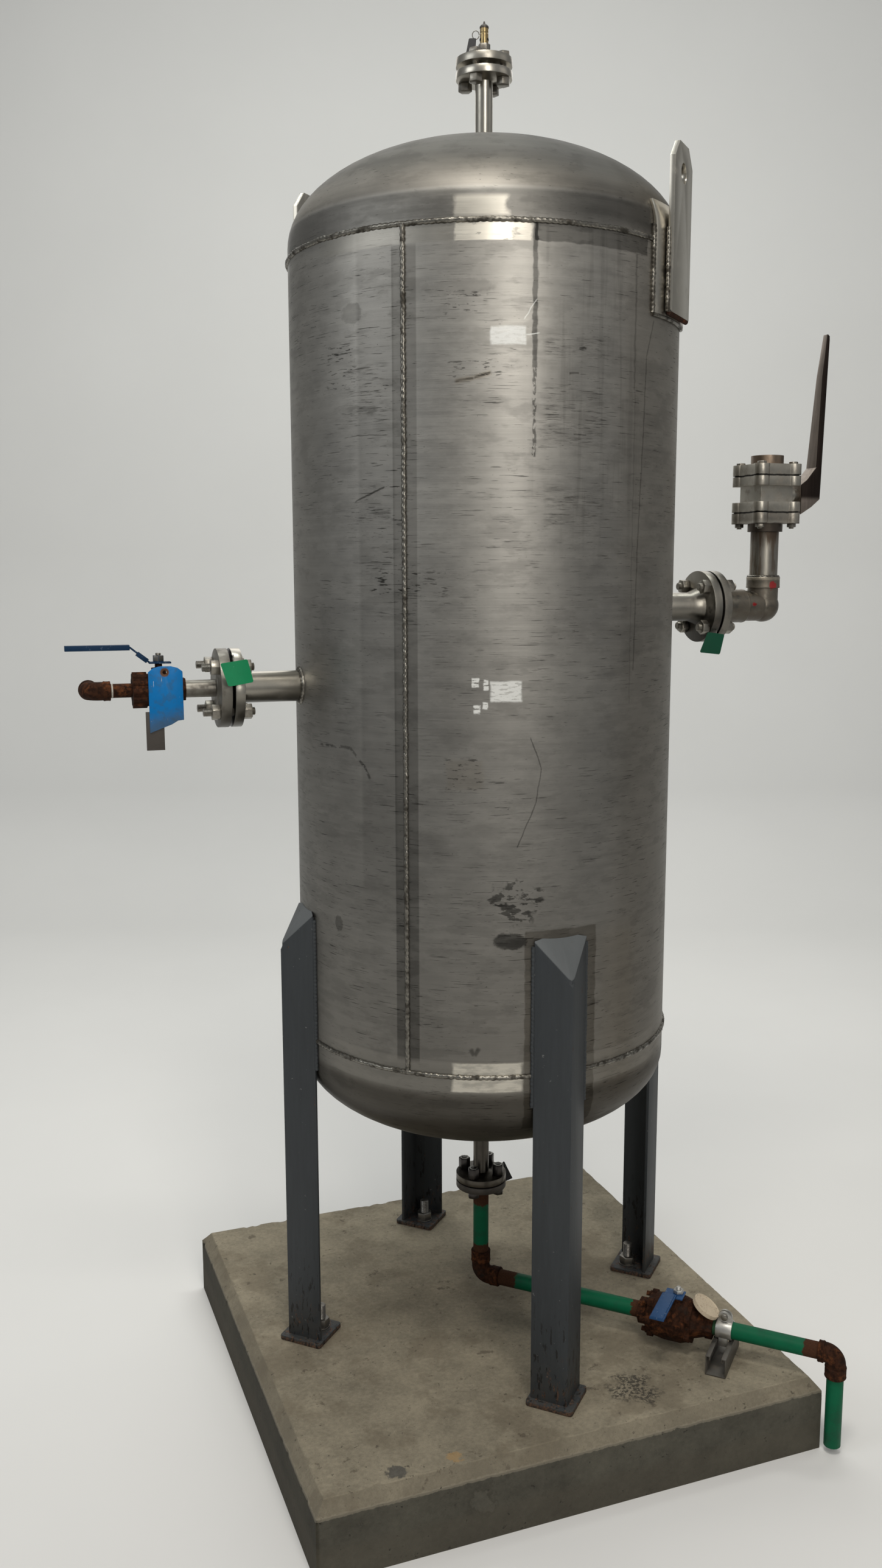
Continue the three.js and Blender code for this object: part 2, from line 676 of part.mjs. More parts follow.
// Valve plates: a blue one with a round top and a torn bottom that hangs against the valve's barrel,
// and a small brown one against its back
const blueOutline = [
  [-79, 676],
  [-64, 635],
  [-57, 623],
  [-56, 612],
  [36, 612],
  [43, 621],
  [46.5, 634],
  [46.5, 654],
  [43, 667],
  [36, 676],
];
const brownOutline = [[-112.5, 649], [-112.5, 683], [-39, 683], [-39, 649]];
const plateHole = rod(4, -60, 60, 12).rotateX(Math.PI / 2).translate(35, 0, 645.5);
const plateRear = -LEFT_BARREL - GAP;
left.add(
  piece("tag_plate_blue", cut(upright(blueOutline, plateRear - 2, plateRear), plateHole), bluePlate),
  piece("tag_plate_brown", upright(brownOutline, plateRear + GAP, plateRear + GAP + 1.5), brownPlate),
);

root.add(left);

// Right branch: nozzle, companion flange, elbow turned up, nipple and a valve with bolted ends
const right = branch([1, 0, 0], [0, 0, 1], [0, 0, RIGHT_HEIGHT]);
const rightHubEnd = RIGHT_RIM + RIGHT_RIM_GAP + 22;
const rightCompanion = join(
  companion(INCH_2, RIGHT_RIM, RIGHT_RIM_GAP, 19, 39, rightHubEnd),
  rod(INCH_2.pipe, rightHubEnd - 1, RIGHT_PIPE_END),
);
const RIGHT_LEGS = { back: RIGHT_RISER - RIGHT_PIPE_END - GAP, up: 62 };
right.add(
  piece("right_nozzle", nozzle({ ...INCH_2, hubHeight: 24 }, nozzleInside, RIGHT_RIM, RIGHT_RIM_GAP), stainless),
  piece("right_gasket", gasket(INCH_2, RIGHT_RIM, RIGHT_RIM_GAP), gasketBlack),
  piece("right_companion_flange", rightCompanion, darkSteel),
);
root.add(right);

const riser = new THREE.Group();
riser.position.x = RIGHT_RISER;
const rightElbow = elbow(32.5, 34.3, 36, RIGHT_LEGS.up, RIGHT_LEGS.back, 25, 60);
const nippleLow = RIGHT_HEIGHT + RIGHT_LEGS.up + GAP;
const valveLow = RIGHT_STEM_HEIGHT - 80;
riser.add(
  piece("right_elbow", rightElbow.rotate([0, 0, 180]).translate([0, 0, RIGHT_HEIGHT]), rust),
  piece("right_nipple", rod(INCH_2.pipe, nippleLow, valveLow - GAP, 28), stainless),
);

// Square plates with four round corner lobes, stacked about the stem's height
const plate = (low, high, core) => {
  const parts = [rod(core, low, high, 28)];
  for (const [sx, sy] of [[1, 1], [-1, 1], [-1, -1], [1, -1]]) {
    parts.push(rod(17, low, high, 16).translate(sx * 40, sy * 40, 0));
  }
  return join(...parts, block(-50, 50, -40, 40, low, high), block(-40, 40, -50, 50, low, high));
};
const rightSeat = 77.4;
const valveParts = [
  rod(37.5, -80, -62, 28),
  plate(-63, -40, 50),
  rod(42, -41, -37, 28),
  plate(-38, -17, 50),
  block(-40, 40, -40, 40, -18, 18),
  plate(17, 38, 50),
  rod(42, 37, 41, 28),
  plate(40, 63, 50),
  rod(35, 62, 82, 28),
  alongX(rod(20, 30, rightSeat - 16, 20)),
  alongX(rod(13, 30, rightSeat, 16)),
];
const rightValve = cut(join(...valveParts), rod(26.2, 50, 83, 28));
riser.add(piece("right_valve", rightValve.translate([0, 0, RIGHT_STEM_HEIGHT]), bright));

// Right lever, open: a tapered channel, open outwards, with a dish round the stem's nut at its foot
const leverSide = [
  [0, -42],
  [27, -26],
  [48, -9],
  [50, 57],
  [65, 329],
  [65, 339],
  [60, 343],
  [49, 254],
  [37, 59],
  [14, 32],
  [0, 22],
];
const leverHollow = [
  [3, -37],
  [26, -23],
  [54, -4],
  [110, -4],
  [110, 337],
  [62.5, 337],
  [52, 253],
  [40, 59],
  [16, 29],
  [3, 20],
];
// A slice of the lever between two tapering sides, as wide as twice each half width
const leverSlice = (foot, tip) => {
  const front = [[60, -foot], [60, foot], [-50, foot], [-345, tip], [-345, -tip], [-50, -foot]];
  return alongX(prism(front, -5, 130));
};
const rightLever = join(
  cut(
    common(upright(leverSide, -30, 30), leverSlice(19.5, 8)),
    common(upright(leverHollow, -30, 30), leverSlice(16.5, 5)),
  ),
  alongX(hexagon(24, 2, 17)),
).translate([rightSeat + GAP, 0, 0]);
riser.add(piece("right_lever", rightLever.translate([0, 0, RIGHT_STEM_HEIGHT]), darkSteel));
root.add(riser);

export default root;
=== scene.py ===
"""Looks of a vertical storage tank on four angle legs, made around its CAD frame.

Every piece is drawn in millimetres in the frame of the CAD model and turned into metres at the end.
"""
import math

import bmesh
import bpy
from mathutils import Matrix, Vector, noise


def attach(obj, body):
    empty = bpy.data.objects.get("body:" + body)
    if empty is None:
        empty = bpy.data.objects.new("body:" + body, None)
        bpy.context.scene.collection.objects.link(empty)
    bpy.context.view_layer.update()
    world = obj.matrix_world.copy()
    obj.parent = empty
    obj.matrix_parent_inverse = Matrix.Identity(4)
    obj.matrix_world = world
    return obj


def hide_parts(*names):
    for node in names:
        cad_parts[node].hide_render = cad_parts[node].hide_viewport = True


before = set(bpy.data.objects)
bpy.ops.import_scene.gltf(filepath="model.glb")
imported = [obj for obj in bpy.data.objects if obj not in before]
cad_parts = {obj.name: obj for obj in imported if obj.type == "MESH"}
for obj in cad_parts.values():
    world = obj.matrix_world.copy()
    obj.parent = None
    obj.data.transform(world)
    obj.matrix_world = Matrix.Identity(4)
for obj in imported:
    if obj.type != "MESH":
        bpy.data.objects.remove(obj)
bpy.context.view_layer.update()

bl_info = {
    "name": "Vertical storage tank",
    "version": (1, 0, 0),
    "blender": (4, 5, 0),
    "location": "3D View > Sidebar > Tank",
    "description": "Dresses the CAD frame of a vertical storage tank on a concrete plinth",
    "category": "Add Mesh",
}

MM = 0.001
METRE = 1000
UP = Vector((0, 0, 1))

# Sizes of the plinth, the shell, the legs and the lugs, in millimetres
PLINTH_SIDE = 1044
PLINTH_HEIGHT = 150
PLINTH_CHAMFER = (20, 25)
SHORT_CUTS = 7
LONG_CUTS = 139
TANK_RADIUS = 381
BOTTOM_SEAM = 813
TOP_SEAM = 2325
TOP_PIPE_WELD = 2543
BOTTOM_PIPE_WELD = 590
TOP_DISH = {"straight": 25, "depth": 195}
BOTTOM_DISH = {"straight": 57, "depth": 167}
DISH_STEPS = 22
SHELL_RINGS = (1190, 1570, 1950)
SEAM_ARC = -141
LEG_AZIMUTHS = {"right": 0, "back": 90, "left": 180, "front": 270}
LEG_TOE = (379.4, 53.6)
TOE_WELD = (752, 1062)
CAP_SLOPE = 1.301
CAP_PLANE = 1004 + 435.4 * CAP_SLOPE
FOOT_TOP = 160.3
ANCHOR_REACH = 366
LUG_AZIMUTHS = {"near": -46, "far": 134}
PAD_EDGE = 14.2
PAD_HEIGHTS = (2199, 2350)
LUG_FOOT = 2204
LUG_EDGE = 58
LUG_BACK = 388

# Sizes of pipes and flanges, and the branches' places from the tank's axis, in millimetres
INCH_2 = {"pipe": 30.15, "bore": 26.2, "flange": 76.2, "rim": 19, "face": 46, "hub": 39,
          "hub_height": 6, "circle": 60.35, "stud": 7.8}
INCH_1 = {"pipe": 16.7, "bore": 13.3, "flange": 54, "rim": 13.7, "face": 25.4, "hub": 24.5,
          "hub_height": 3, "circle": 39.7, "stud": 6.3}
FACE_HEIGHT = 1.6
GAP = 0.3
# Each joint's pipe size, the pipe's start, the rim of its flange, the gap past the rim and a tall hub
JOINTS = {
    "top": (INCH_1, 2515, 2682, 9.6),
    "bottom": (INCH_1, -619, -435, 3),
    "left": (INCH_2, 368.2, 519, 5),
    "right": (INCH_2, 368.2, 520.5, 4, 24),
}
QUARTERS = (45, 135, 225, 315)
LUG_QUARTERS = (-136, -46, 44, 134)
LEFT_AZIMUTH = 177
LEFT_HEIGHT = 1520
LEFT_STEM = 653
LEFT_ELBOW = 782.5
RIGHT_HEIGHT = 1664
RIGHT_RISER = 668
RIGHT_STEM_HEIGHT = 1904
RIGHT_PLATE_GAP = 39
DRAIN_HEIGHT = 210
DRAIN_STEM = 443
CLAMP_REACH = 541
SPOUT_REACH = 762
# The painted shade in each side joint's gap: its azimuth and where it starts and ends along the pipe
LEFT_JOINT = (LEFT_AZIMUTH, 518.2, 524.8)
RIGHT_JOINT = (0, 519.3, 525.7)

# The camera's eye and where it looks, in metres and degrees
EYE = (-1.0433, -2.5313, 1.7489)
LOOK_AZIMUTH = 69.39
LOOK_PITCH = 9.23
LOOK_ROLL = -0.13
LENS = 30.605
SENSOR = 36.0
FRONT_AZIMUTH = -112.4


# Settings

def size_setting(name, description, default, low, high):
    return bpy.props.FloatProperty(
        name=name, description=description + ", in millimetres", default=default, min=low, max=high)


def sides_setting(name, description, default, low, high):
    return bpy.props.IntProperty(name=name, description=description, default=default, min=low, max=high)


def colour_setting(name, description, default):
    return bpy.props.FloatVectorProperty(
        name=name, description=description, default=default, subtype="COLOR", size=3, min=0, max=1)


class TankSizes(bpy.types.PropertyGroup):
    """Sizes of the small shapes that a user would change"""

    sides: sides_setting("Shell sides", "Flats round the shell and the heads", 224, 48, 360)
    pipe_sides: sides_setting("Pipe sides", "Flats round a pipe or a flange", 72, 24, 160)
    edge: size_setting("Edge", "Width of the rounding on machined edges", 0.9, 0.1, 3)
    bead: size_setting("Weld bead", "Half width of the shell's weld beads", 4.4, 2, 9)
    ripple: size_setting("Weld ripple", "Distance from one weld ripple to the next", 11.0, 3, 20)
    chips: size_setting("Plinth chips", "Depth of the chips in the plinth's edges", 3.5, 0, 9)


class TankColours(bpy.types.PropertyGroup):
    """Base colours of the finishes"""

    steel: colour_setting("Shell steel", "Dull rolled stainless steel", (0.290, 0.279, 0.255))
    polished: colour_setting("Polished steel", "Ground stainless steel", (0.520, 0.490, 0.425))
    iron: colour_setting("Dark steel", "Oiled steel of flanges and studs", (0.085, 0.078, 0.070))
    paint: colour_setting("Leg paint", "Blue-grey primer on the legs", (0.030, 0.034, 0.037))
    rust: colour_setting("Rust", "Brown rust on iron fittings", (0.034, 0.0130, 0.0062))
    green: colour_setting("Pipe green", "Green paint of the drain line", (0.001, 0.096, 0.041))
    brass: colour_setting("Brass", "Tarnished brass of the relief valve", (0.330, 0.250, 0.125))
    sleeve: colour_setting("Lever sleeve", "Blue vinyl sleeve", (0.007, 0.026, 0.062))
    plate: colour_setting("Valve plate", "Bright blue plate", (0.002, 0.145, 0.400))
    concrete: colour_setting("Concrete", "Pale weathered concrete", (0.205, 0.178, 0.128))
    floor: colour_setting("Studio floor", "Plain pale floor", (0.700, 0.690, 0.670))


def sizes():
    return bpy.context.scene.tank_sizes


def colours():
    return bpy.context.scene.tank_colours


# Shapes, in millimetres

def polar(radius, degrees, z=0.0):
    turn = math.radians(degrees)
    return Vector((radius * math.cos(turn), radius * math.sin(turn), z))


def moved(x=0, y=0, z=0):
    return Matrix.Translation((x, y, z))


def spun(azimuth):
    return Matrix.Rotation(math.radians(azimuth), 4, "Z")


def frame_of(x, y, z, origin=(0, 0, 0)):
    """The place whose axes are these three vectors"""
    place = Matrix((x, y, z)).transposed().to_4x4()
    place.translation = origin
    return place


def branch(outward, up, origin=(0, 0, 0)):
    """The place of an assembly whose Z points outwards and whose X points up"""
    z, x = Vector(outward).normalized(), Vector(up).normalized()
    return frame_of(x, z.cross(x), z, origin)


ALONG_X = Matrix.Rotation(math.pi / 2, 4, "Y")
ALONG_Y = Matrix.Rotation(-math.pi / 2, 4, "X")
TURNED_BACK = Matrix.Rotation(math.pi, 4, "Y")
LEFT = branch(polar(1, LEFT_AZIMUTH), UP, (0, 0, LEFT_HEIGHT))
RIGHT = branch((1, 0, 0), UP, (0, 0, RIGHT_HEIGHT))
DRAIN = branch((1, -1, 0), UP, (0, 0, DRAIN_HEIGHT))
BELOW = branch((0, 0, -1), (1, 0, 0))
RISER = moved(RIGHT_RISER)
FRONT = spun(FRONT_AZIMUTH)


def settled(bm):
    bmesh.ops.remove_doubles(bm, verts=bm.verts, dist=0.002)
    bmesh.ops.recalc_face_normals(bm, faces=bm.faces)
    return bm


def everything(bm):
    return bm.verts[:] + bm.edges[:] + bm.faces[:]


def corners_of(made):
    return [v for v in made if isinstance(v, bmesh.types.BMVert)]


def eased(bm, width=None, angle=30):
    """Rounds every edge where two faces meet at more than this angle"""
    sharp = [e for e in bm.edges if e.is_manifold and math.degrees(e.calc_face_angle(0)) > angle]
    bmesh.ops.bevel(bm, geom=sharp, offset=width or sizes().edge, offset_type="OFFSET",
                    segments=2, profile=0.5, affect="EDGES", clamp_overlap=True, material=-1)
    return bm


def spin(bm, steps):
    bmesh.ops.spin(bm, geom=bm.verts[:] + bm.edges[:], cent=(0, 0, 0), axis=UP, angle=math.tau,
                   steps=steps, use_merge=True)
    return settled(bm)


def turned(profile, segments=None):
    """A profile of (radius, height) pairs turned about Z"""
    bm = bmesh.new()
    points = [bm.verts.new((radius, 0, height)) for radius, height in profile]
    for pair in zip(points, points[1:]):
        bm.edges.new(pair)
    return spin(bm, segments or sizes().pipe_sides)


def rod(radius, low, high, segments=None):
    return turned([(0, low), (radius, low), (radius, high), (0, high)], segments)


def tube(inner, outer, low, high, segments=None):
    return turned([(inner, low), (outer, low), (outer, high), (inner, high), (inner, low)],
                  segments)


def block(x, y, z):
    """A box between two values on each axis"""
    bm = bmesh.new()
    middle = moved(*(sum(pair) / 2 for pair in (x, y, z)))
    spread = Matrix.Diagonal([pair[1] - pair[0] for pair in (x, y, z)] + [1])
    bmesh.ops.create_cube(bm, size=1, matrix=middle @ spread)
    return bm


def prism(sides, radius, low, high):
    bm = bmesh.new()
    bmesh.ops.create_cone(bm, cap_ends=True, segments=sides, radius1=radius, radius2=radius,
                          depth=high - low, matrix=moved(0, 0, (low + high) / 2))
    return bm


def hexagon(flats, low, high, ease=1.4):
    """A hexagon bar with its corners eased, as a nut or a bolt's head"""
    return eased(prism(6, flats / math.sqrt(3), low, high), ease, 50)


def slab(outline, low, high):
    """A flat outline in the XY plane pushed up from one height to another"""
    bm = bmesh.new()
    face = bm.faces.new([bm.verts.new((x, y, low)) for x, y in outline])
    pushed = bmesh.ops.extrude_face_region(bm, geom=[face])["geom"]
    bmesh.ops.translate(bm, vec=(0, 0, high - low), verts=corners_of(pushed))
    return settled(bm)


def threaded(radius, low, high, pitch=2.2):
    """A stud with its thread"""
    turns = max(2, round((high - low) / pitch))
    step = (high - low) / turns
    profile = [(0, low), (radius - 1.2, low)]
    for turn in range(turns):
        profile.append((radius, low + (turn + 0.35) * step))
        profile.append((radius - 0.75, low + (turn + 0.85) * step))
    return turned(profile + [(radius - 1.6, high), (0, high)], 20)


def rippled(x, y, along, pitch, seed):
    """One point of a bead's section, swollen by the ripple at this distance along it"""
    ripple = (along / pitch + 0.09 * y) % 1
    lump = noise.noise(Vector((along / 9, seed, 0)))
    swell = 0.86 + 0.3 * math.sin(math.pi * ripple) ** 0.7 + 0.22 * lump
    drift = 0.9 * noise.noise(Vector((along / 34, seed + 7, 3)))
    return x * swell, y * swell + drift


def bead(length, size, pitch, seed=0):
    """A straight weld bead along Z, half sunk, with its ripples"""
    bm = prism(10, size, 0, length)
    sides = [e for e in bm.edges if abs(e.verts[0].co.z - e.verts[1].co.z) > 1]
    bmesh.ops.subdivide_edges(bm, edges=sides, cuts=max(3, round(length * 5 / pitch)))
    for v in bm.verts:
        v.co.x, v.co.y = rippled(v.co.x, v.co.y, v.co.z, pitch, seed)
    return bm


def ring_bead(radius, size, pitch, seed=0):
    """A weld bead round Z at height 0, with its ripples"""
    bm = bmesh.new()
    bmesh.ops.create_circle(bm, segments=10, radius=size, matrix=moved(radius) @ ALONG_Y)
    spin(bm, max(48, round(math.tau * radius / pitch * 5)))
    for v in bm.verts:
        azimuth = math.atan2(v.co.y, v.co.x)
        along = (azimuth + math.pi) * radius
        out, rise = rippled(math.hypot(v.co.x, v.co.y) - radius, v.co.z, along, pitch, seed)
        v.co = polar(radius + out, math.degrees(azimuth), rise)
    return bm


def swept(path, radius, segments=12, closed=False):
    """A round wire through a list of points"""
    bm = bmesh.new()
    points = [Vector(p) for p in path]
    ring = None
    for i, point in enumerate(points):
        before, after = points[max(i - 1, 0)], points[min(i + 1, len(points) - 1)]
        if closed:
            before, after = points[i - 1], points[(i + 1) % len(points)]
        turn = (after - before).to_track_quat("Z", "Y").to_matrix().to_4x4()
        made = bmesh.ops.create_circle(bm, segments=segments, radius=radius, cap_ends=False,
                                       matrix=Matrix.Translation(point) @ turn)["verts"]
        edges = list({e for v in made for e in v.link_edges})
        if ring:
            bmesh.ops.bridge_loops(bm, edges=ring + edges)
        ring = edges
    bmesh.ops.holes_fill(bm, edges=bm.edges, sides=0)
    return settled(bm)


def elbow(body, collar, bend, reach_z, reach_x, collar_z, collar_x, ball=None):
    """An elbow fitting from its +Z leg to its +X leg, with a bead-edged collar round each end"""
    piece = Piece()
    bm = bmesh.new()
    if ball:
        bmesh.ops.create_uvsphere(bm, u_segments=56, v_segments=28, radius=ball)
    else:
        bmesh.ops.create_circle(bm, segments=48, radius=body, matrix=moved(0, 0, bend))
        bmesh.ops.spin(bm, geom=bm.verts[:] + bm.edges[:], cent=(bend, 0, bend), axis=(0, 1, 0),
                       angle=-math.pi / 2, steps=14)
    piece.add(settled(bm))
    for reach, length, at in ((reach_z, collar_z, None), (reach_x, collar_x, ALONG_X)):
        piece.add(tube(body * 0.55, body, bend - 0.4, reach - 1.2, 48), at)
        start = reach - length
        piece.add(turned([
            (body - 1, start), (collar - 0.6, start + 0.8), (collar, start + 3),
            (collar - 0.5, start + 5), (collar - 0.5, reach - 3), (collar, reach - 1.4),
            (collar - 0.8, reach), (body * 0.74, reach), (body * 0.70, reach - 4),
            (body - 1, start)], 56), at)
    return piece.bm


def sheet(corners, thickness=0.9, bow=0.0, clip=2.5):
    """A thin tag through four corners, clipped at each, and bowed out over its middle"""
    points = [Vector(corner) for corner in corners]
    across = (points[1] - points[0]).normalized()
    normal = (points[2] - points[1]).cross(across).normalized()
    place = frame_of(across, normal.cross(across), normal, sum(points, Vector()) / 4)
    flat = [(place.inverted() @ point).xy for point in points]
    outline = []
    for i, point in enumerate(flat):
        for other in (flat[i - 1], flat[(i + 1) % 4]):
            outline.append(point + (other - point).normalized() * clip)
    bm = slab(outline, 0, thickness)
    reach = max(abs(point.x) for point in flat)
    for step in range(-4, 5):
        bmesh.ops.bisect_plane(bm, geom=everything(bm), plane_co=(step * reach / 5, 0, 0),
                               plane_no=(1, 0, 0))
    for v in bm.verts:
        v.co.z += bow * (1 - (v.co.x / reach) ** 2)
    bmesh.ops.transform(bm, matrix=place, verts=bm.verts)
    return bm


class Piece:
    """One mesh being put together, in millimetres"""

    def __init__(self, *parts):
        self.bm = bmesh.new()
        for part in parts:
            self.add(part)

    def add(self, part, at=None):
        if at is not None:
            bmesh.ops.transform(part, matrix=at, verts=part.verts)
        mesh = bpy.data.meshes.new("part")
        part.to_mesh(mesh)
        part.free()
        self.bm.from_mesh(mesh)
        bpy.data.meshes.remove(mesh)
        return self

    def node(self, name, width, angle=40):
        """Adds a copy of a CAD node, merged, with its edges eased"""
        part = bmesh.new()
        part.from_mesh(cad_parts[name].data)
        bmesh.ops.scale(part, vec=(METRE, METRE, METRE), verts=part.verts)
        bmesh.ops.remove_doubles(part, verts=part.verts, dist=0.01)
        bmesh.ops.dissolve_limit(part, angle_limit=math.radians(0.6), verts=part.verts,
                                 edges=part.edges)
        eased(part, width, angle)
        bmesh.ops.triangulate(part, faces=[f for f in part.faces if len(f.verts) > 4])
        return self.add(part)

    def studs(self, size, angles, flats, low, high, nuts):
        """Threaded studs on a flange's bolt circle, each with its nuts"""
        for number, angle in enumerate(angles):
            place = moved(*polar(size["circle"], angle))
            self.add(threaded(size["stud"], low, high), place)
            for start, end in nuts:
                self.add(hexagon(flats, start, end), place @ spun(angle + 17 * number))
        return self

    def done(self, name, finish_name, at=None, body="tank", replaces=(), slot=None, smooth=26):
        """Turns the mesh into a named object in metres that rides on a body, with a finish; the slot is
        not used
        """
        bm = self.bm
        if at is not None:
            bmesh.ops.transform(bm, matrix=at, verts=bm.verts)
        bmesh.ops.scale(bm, vec=(MM, MM, MM), verts=bm.verts)
        bmesh.ops.recalc_face_normals(bm, faces=bm.faces)
        for face in bm.faces:
            face.smooth = True
        for edge in bm.edges:
            angle = math.degrees(edge.calc_face_angle(0))
            edge.smooth = not edge.is_manifold or angle < smooth
        mesh = bpy.data.meshes.new(name)
        bm.to_mesh(mesh)
        bm.free()
        mesh.materials.append(finish(finish_name))
        piece = bpy.data.objects.new(name, mesh)
        bpy.context.scene.collection.objects.link(piece)
        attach(piece, body)
        if replaces:
            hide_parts(*replaces)
        return piece


def facing(gap):
    """Between two rims: the gasket's thickness and how far each raised face stands up"""
    thickness = max(1.4, gap - 2 * (FACE_HEIGHT + GAP))
    return thickness, (gap - thickness) / 2 - GAP


def nozzle(size, start, rim, gap, hub_height=None):
    """A pipe with its flange, whose face looks along Z"""
    face = rim + facing(gap)[1]
    back = rim - size["rim"]
    low = back - (hub_height or size["hub_height"])
    return eased(turned([
        (size["bore"], start), (size["pipe"], start), (size["pipe"], low), (size["hub"], back),
        (size["flange"], back), (size["flange"], rim), (size["face"], rim), (size["face"], face),
        (size["bore"], face), (size["bore"], start)], 96), None, 25)


def gasket(size, rim, gap):
    thickness, raised = facing(gap)
    low = rim + raised + GAP
    return tube(size["bore"], size["face"], low, low + thickness, 80)


def companion(size, rim, gap, thickness, hub, hub_end):
    """The flange across the joint, with its hub"""
    near = rim + gap
    face = near - facing(gap)[1]
    far = near + thickness
    return eased(turned([
        (0, face), (size["face"], face), (size["face"], near), (size["flange"], near),
        (size["flange"], far), (hub + 2, far), (hub, far + 2), (hub, hub_end), (0, hub_end)],
        96), None, 25)


# Finishes

def shade(colour, factor):
    return tuple(min(1.0, c * factor) for c in colour[:3])


class Wire:
    """A material socket that sums can be written with"""

    def __init__(self, finish, socket):
        self.finish = finish
        self.socket = socket

    def sum(self, operation, first, second):
        return self.finish.node("ShaderNodeMath", {"operation": operation}, {0: first, 1: second})

    def __add__(self, other):
        return self.sum("ADD", self, other)

    def __sub__(self, other):
        return self.sum("SUBTRACT", self, other)

    def __rsub__(self, other):
        return self.sum("SUBTRACT", other, self)

    def __mul__(self, other):
        return self.sum("MULTIPLY", self, other)

    def __truediv__(self, other):
        return self.sum("DIVIDE", self, other)

    def __pow__(self, other):
        return self.sum("POWER", self, other)

    __radd__ = __add__
    __rmul__ = __mul__

    def most(self, other):
        return self.sum("MAXIMUM", self, other)

    def at_most(self, limit=1.0):
        return self.sum("MINIMUM", self, limit)

    def ramp(self, start, end, low=0.0, high=1.0):
        """Goes smoothly from low to high as the value goes from start to end"""
        return self.finish.node("ShaderNodeMapRange", {"interpolation_type": "SMOOTHSTEP"},
                                {0: self, 1: start, 2: end, 3: low, 4: high})

    def above(self, edge, soft):
        return self.ramp(edge - soft, edge + soft)

    def below(self, edge, soft):
        return self.ramp(edge - soft, edge + soft, 1.0, 0.0)

    def between(self, low, high, soft):
        return self.above(low, soft) * self.below(high, soft)


class Finish:
    """One material: its nodes, and its coordinates in millimetres"""

    def __init__(self, name, metallic=0.0, gloss=None):
        self.material = bpy.data.materials.new(name)
        self.material.use_nodes = True
        self.tree = self.material.node_tree
        self.tree.nodes.clear()
        self.surface = self.tree.nodes.new("ShaderNodeBsdfPrincipled")
        output = self.tree.nodes.new("ShaderNodeOutputMaterial")
        self.tree.links.new(self.surface.outputs[0], output.inputs["Surface"])
        self.surface.inputs["Metallic"].default_value = metallic
        if gloss is not None:
            self.surface.inputs["Specular IOR Level"].default_value = gloss
        self.place = self.node("ShaderNodeTexCoord", output="Object")
        parts = self.node("ShaderNodeSeparateXYZ", None, {0: self.place}).socket.node
        self.x, self.y, self.z = (Wire(self, part) * METRE for part in parts.outputs)

    def node(self, kind, settings=None, inputs=None, output=0):
        """Any node: its settings first, then its inputs, and one of its outputs"""
        made = self.tree.nodes.new(kind)
        for setting, value in (settings or {}).items():
            setattr(made, setting, value)
        for socket, value in (inputs or {}).items():
            self.feed(made, socket, value)
        return Wire(self, made.outputs[output])

    def feed(self, made, socket, value):
        """Links a wire to a node's input, or sets the input's own value"""
        if isinstance(value, Wire):
            self.tree.links.new(value.socket, made.inputs[socket])
        else:
            made.inputs[socket].default_value = value

    def towards(self, azimuth):
        """How far out a point is along an azimuth, in millimetres"""
        turn = math.radians(azimuth)
        return self.x * math.cos(turn) + self.y * math.sin(turn)

    def near(self, point):
        """Distance from a point of the tank, in millimetres"""
        return self.node("ShaderNodeVectorMath", {"operation": "DISTANCE"},
                         {0: self.place, 1: tuple(Vector(point) * MM)}, 1) * METRE

    def noise(self, size, detail=3.0, stretch=(1, 1, 1), rough=0.55, offset=0.0, place=None):
        """Cloudy noise whose clouds are about this many millimetres across; a place is in millimetres"""
        scale = METRE if place is None else 1
        spot = self.node("ShaderNodeMapping", {"vector_type": "POINT"}, {
            0: place or self.place,
            1: (offset, offset * 1.7, offset * 0.6),
            3: tuple(scale / size / s for s in stretch)})
        return self.node("ShaderNodeTexNoise", {"noise_dimensions": "3D"},
                         {"Vector": spot, "Scale": 1.0, "Detail": detail, "Roughness": rough})

    def mix(self, share, first, second):
        pair = [c if isinstance(c, Wire) else (*c[:3], 1.0) for c in (first, second)]
        return self.node("ShaderNodeMix", {"data_type": "RGBA"}, {0: share, 6: pair[0], 7: pair[1]}, 2)

    def over(self, colour, *layers):
        """Lays each layer, a share and a colour, over the one before"""
        for share, layer in layers:
            colour = self.mix(share, colour, layer)
        return colour

    def tint(self, colour, amount):
        """Makes a colour lighter or darker by a number that varies"""
        return self.node("ShaderNodeVectorMath", {"operation": "SCALE"},
                         {0: colour if isinstance(colour, Wire) else tuple(colour[:3]), 3: amount})

    def skin(self, colour, roughness, metallic=None, bumps=()):
        """Links what varies over the surface; each bump is a height and its depth in millimetres"""
        self.feed(self.surface, "Base Color", colour)
        self.feed(self.surface, "Roughness", roughness)
        if metallic is not None:
            self.feed(self.surface, "Metallic", metallic)
        inputs = {"Strength": 1.0}
        for height, depth in bumps:
            inputs.update({"Height": height, "Distance": depth * MM})
            inputs["Normal"] = self.node("ShaderNodeBump", None, inputs)
        if "Normal" in inputs:
            self.feed(self.surface, "Normal", inputs["Normal"])
        return self.material


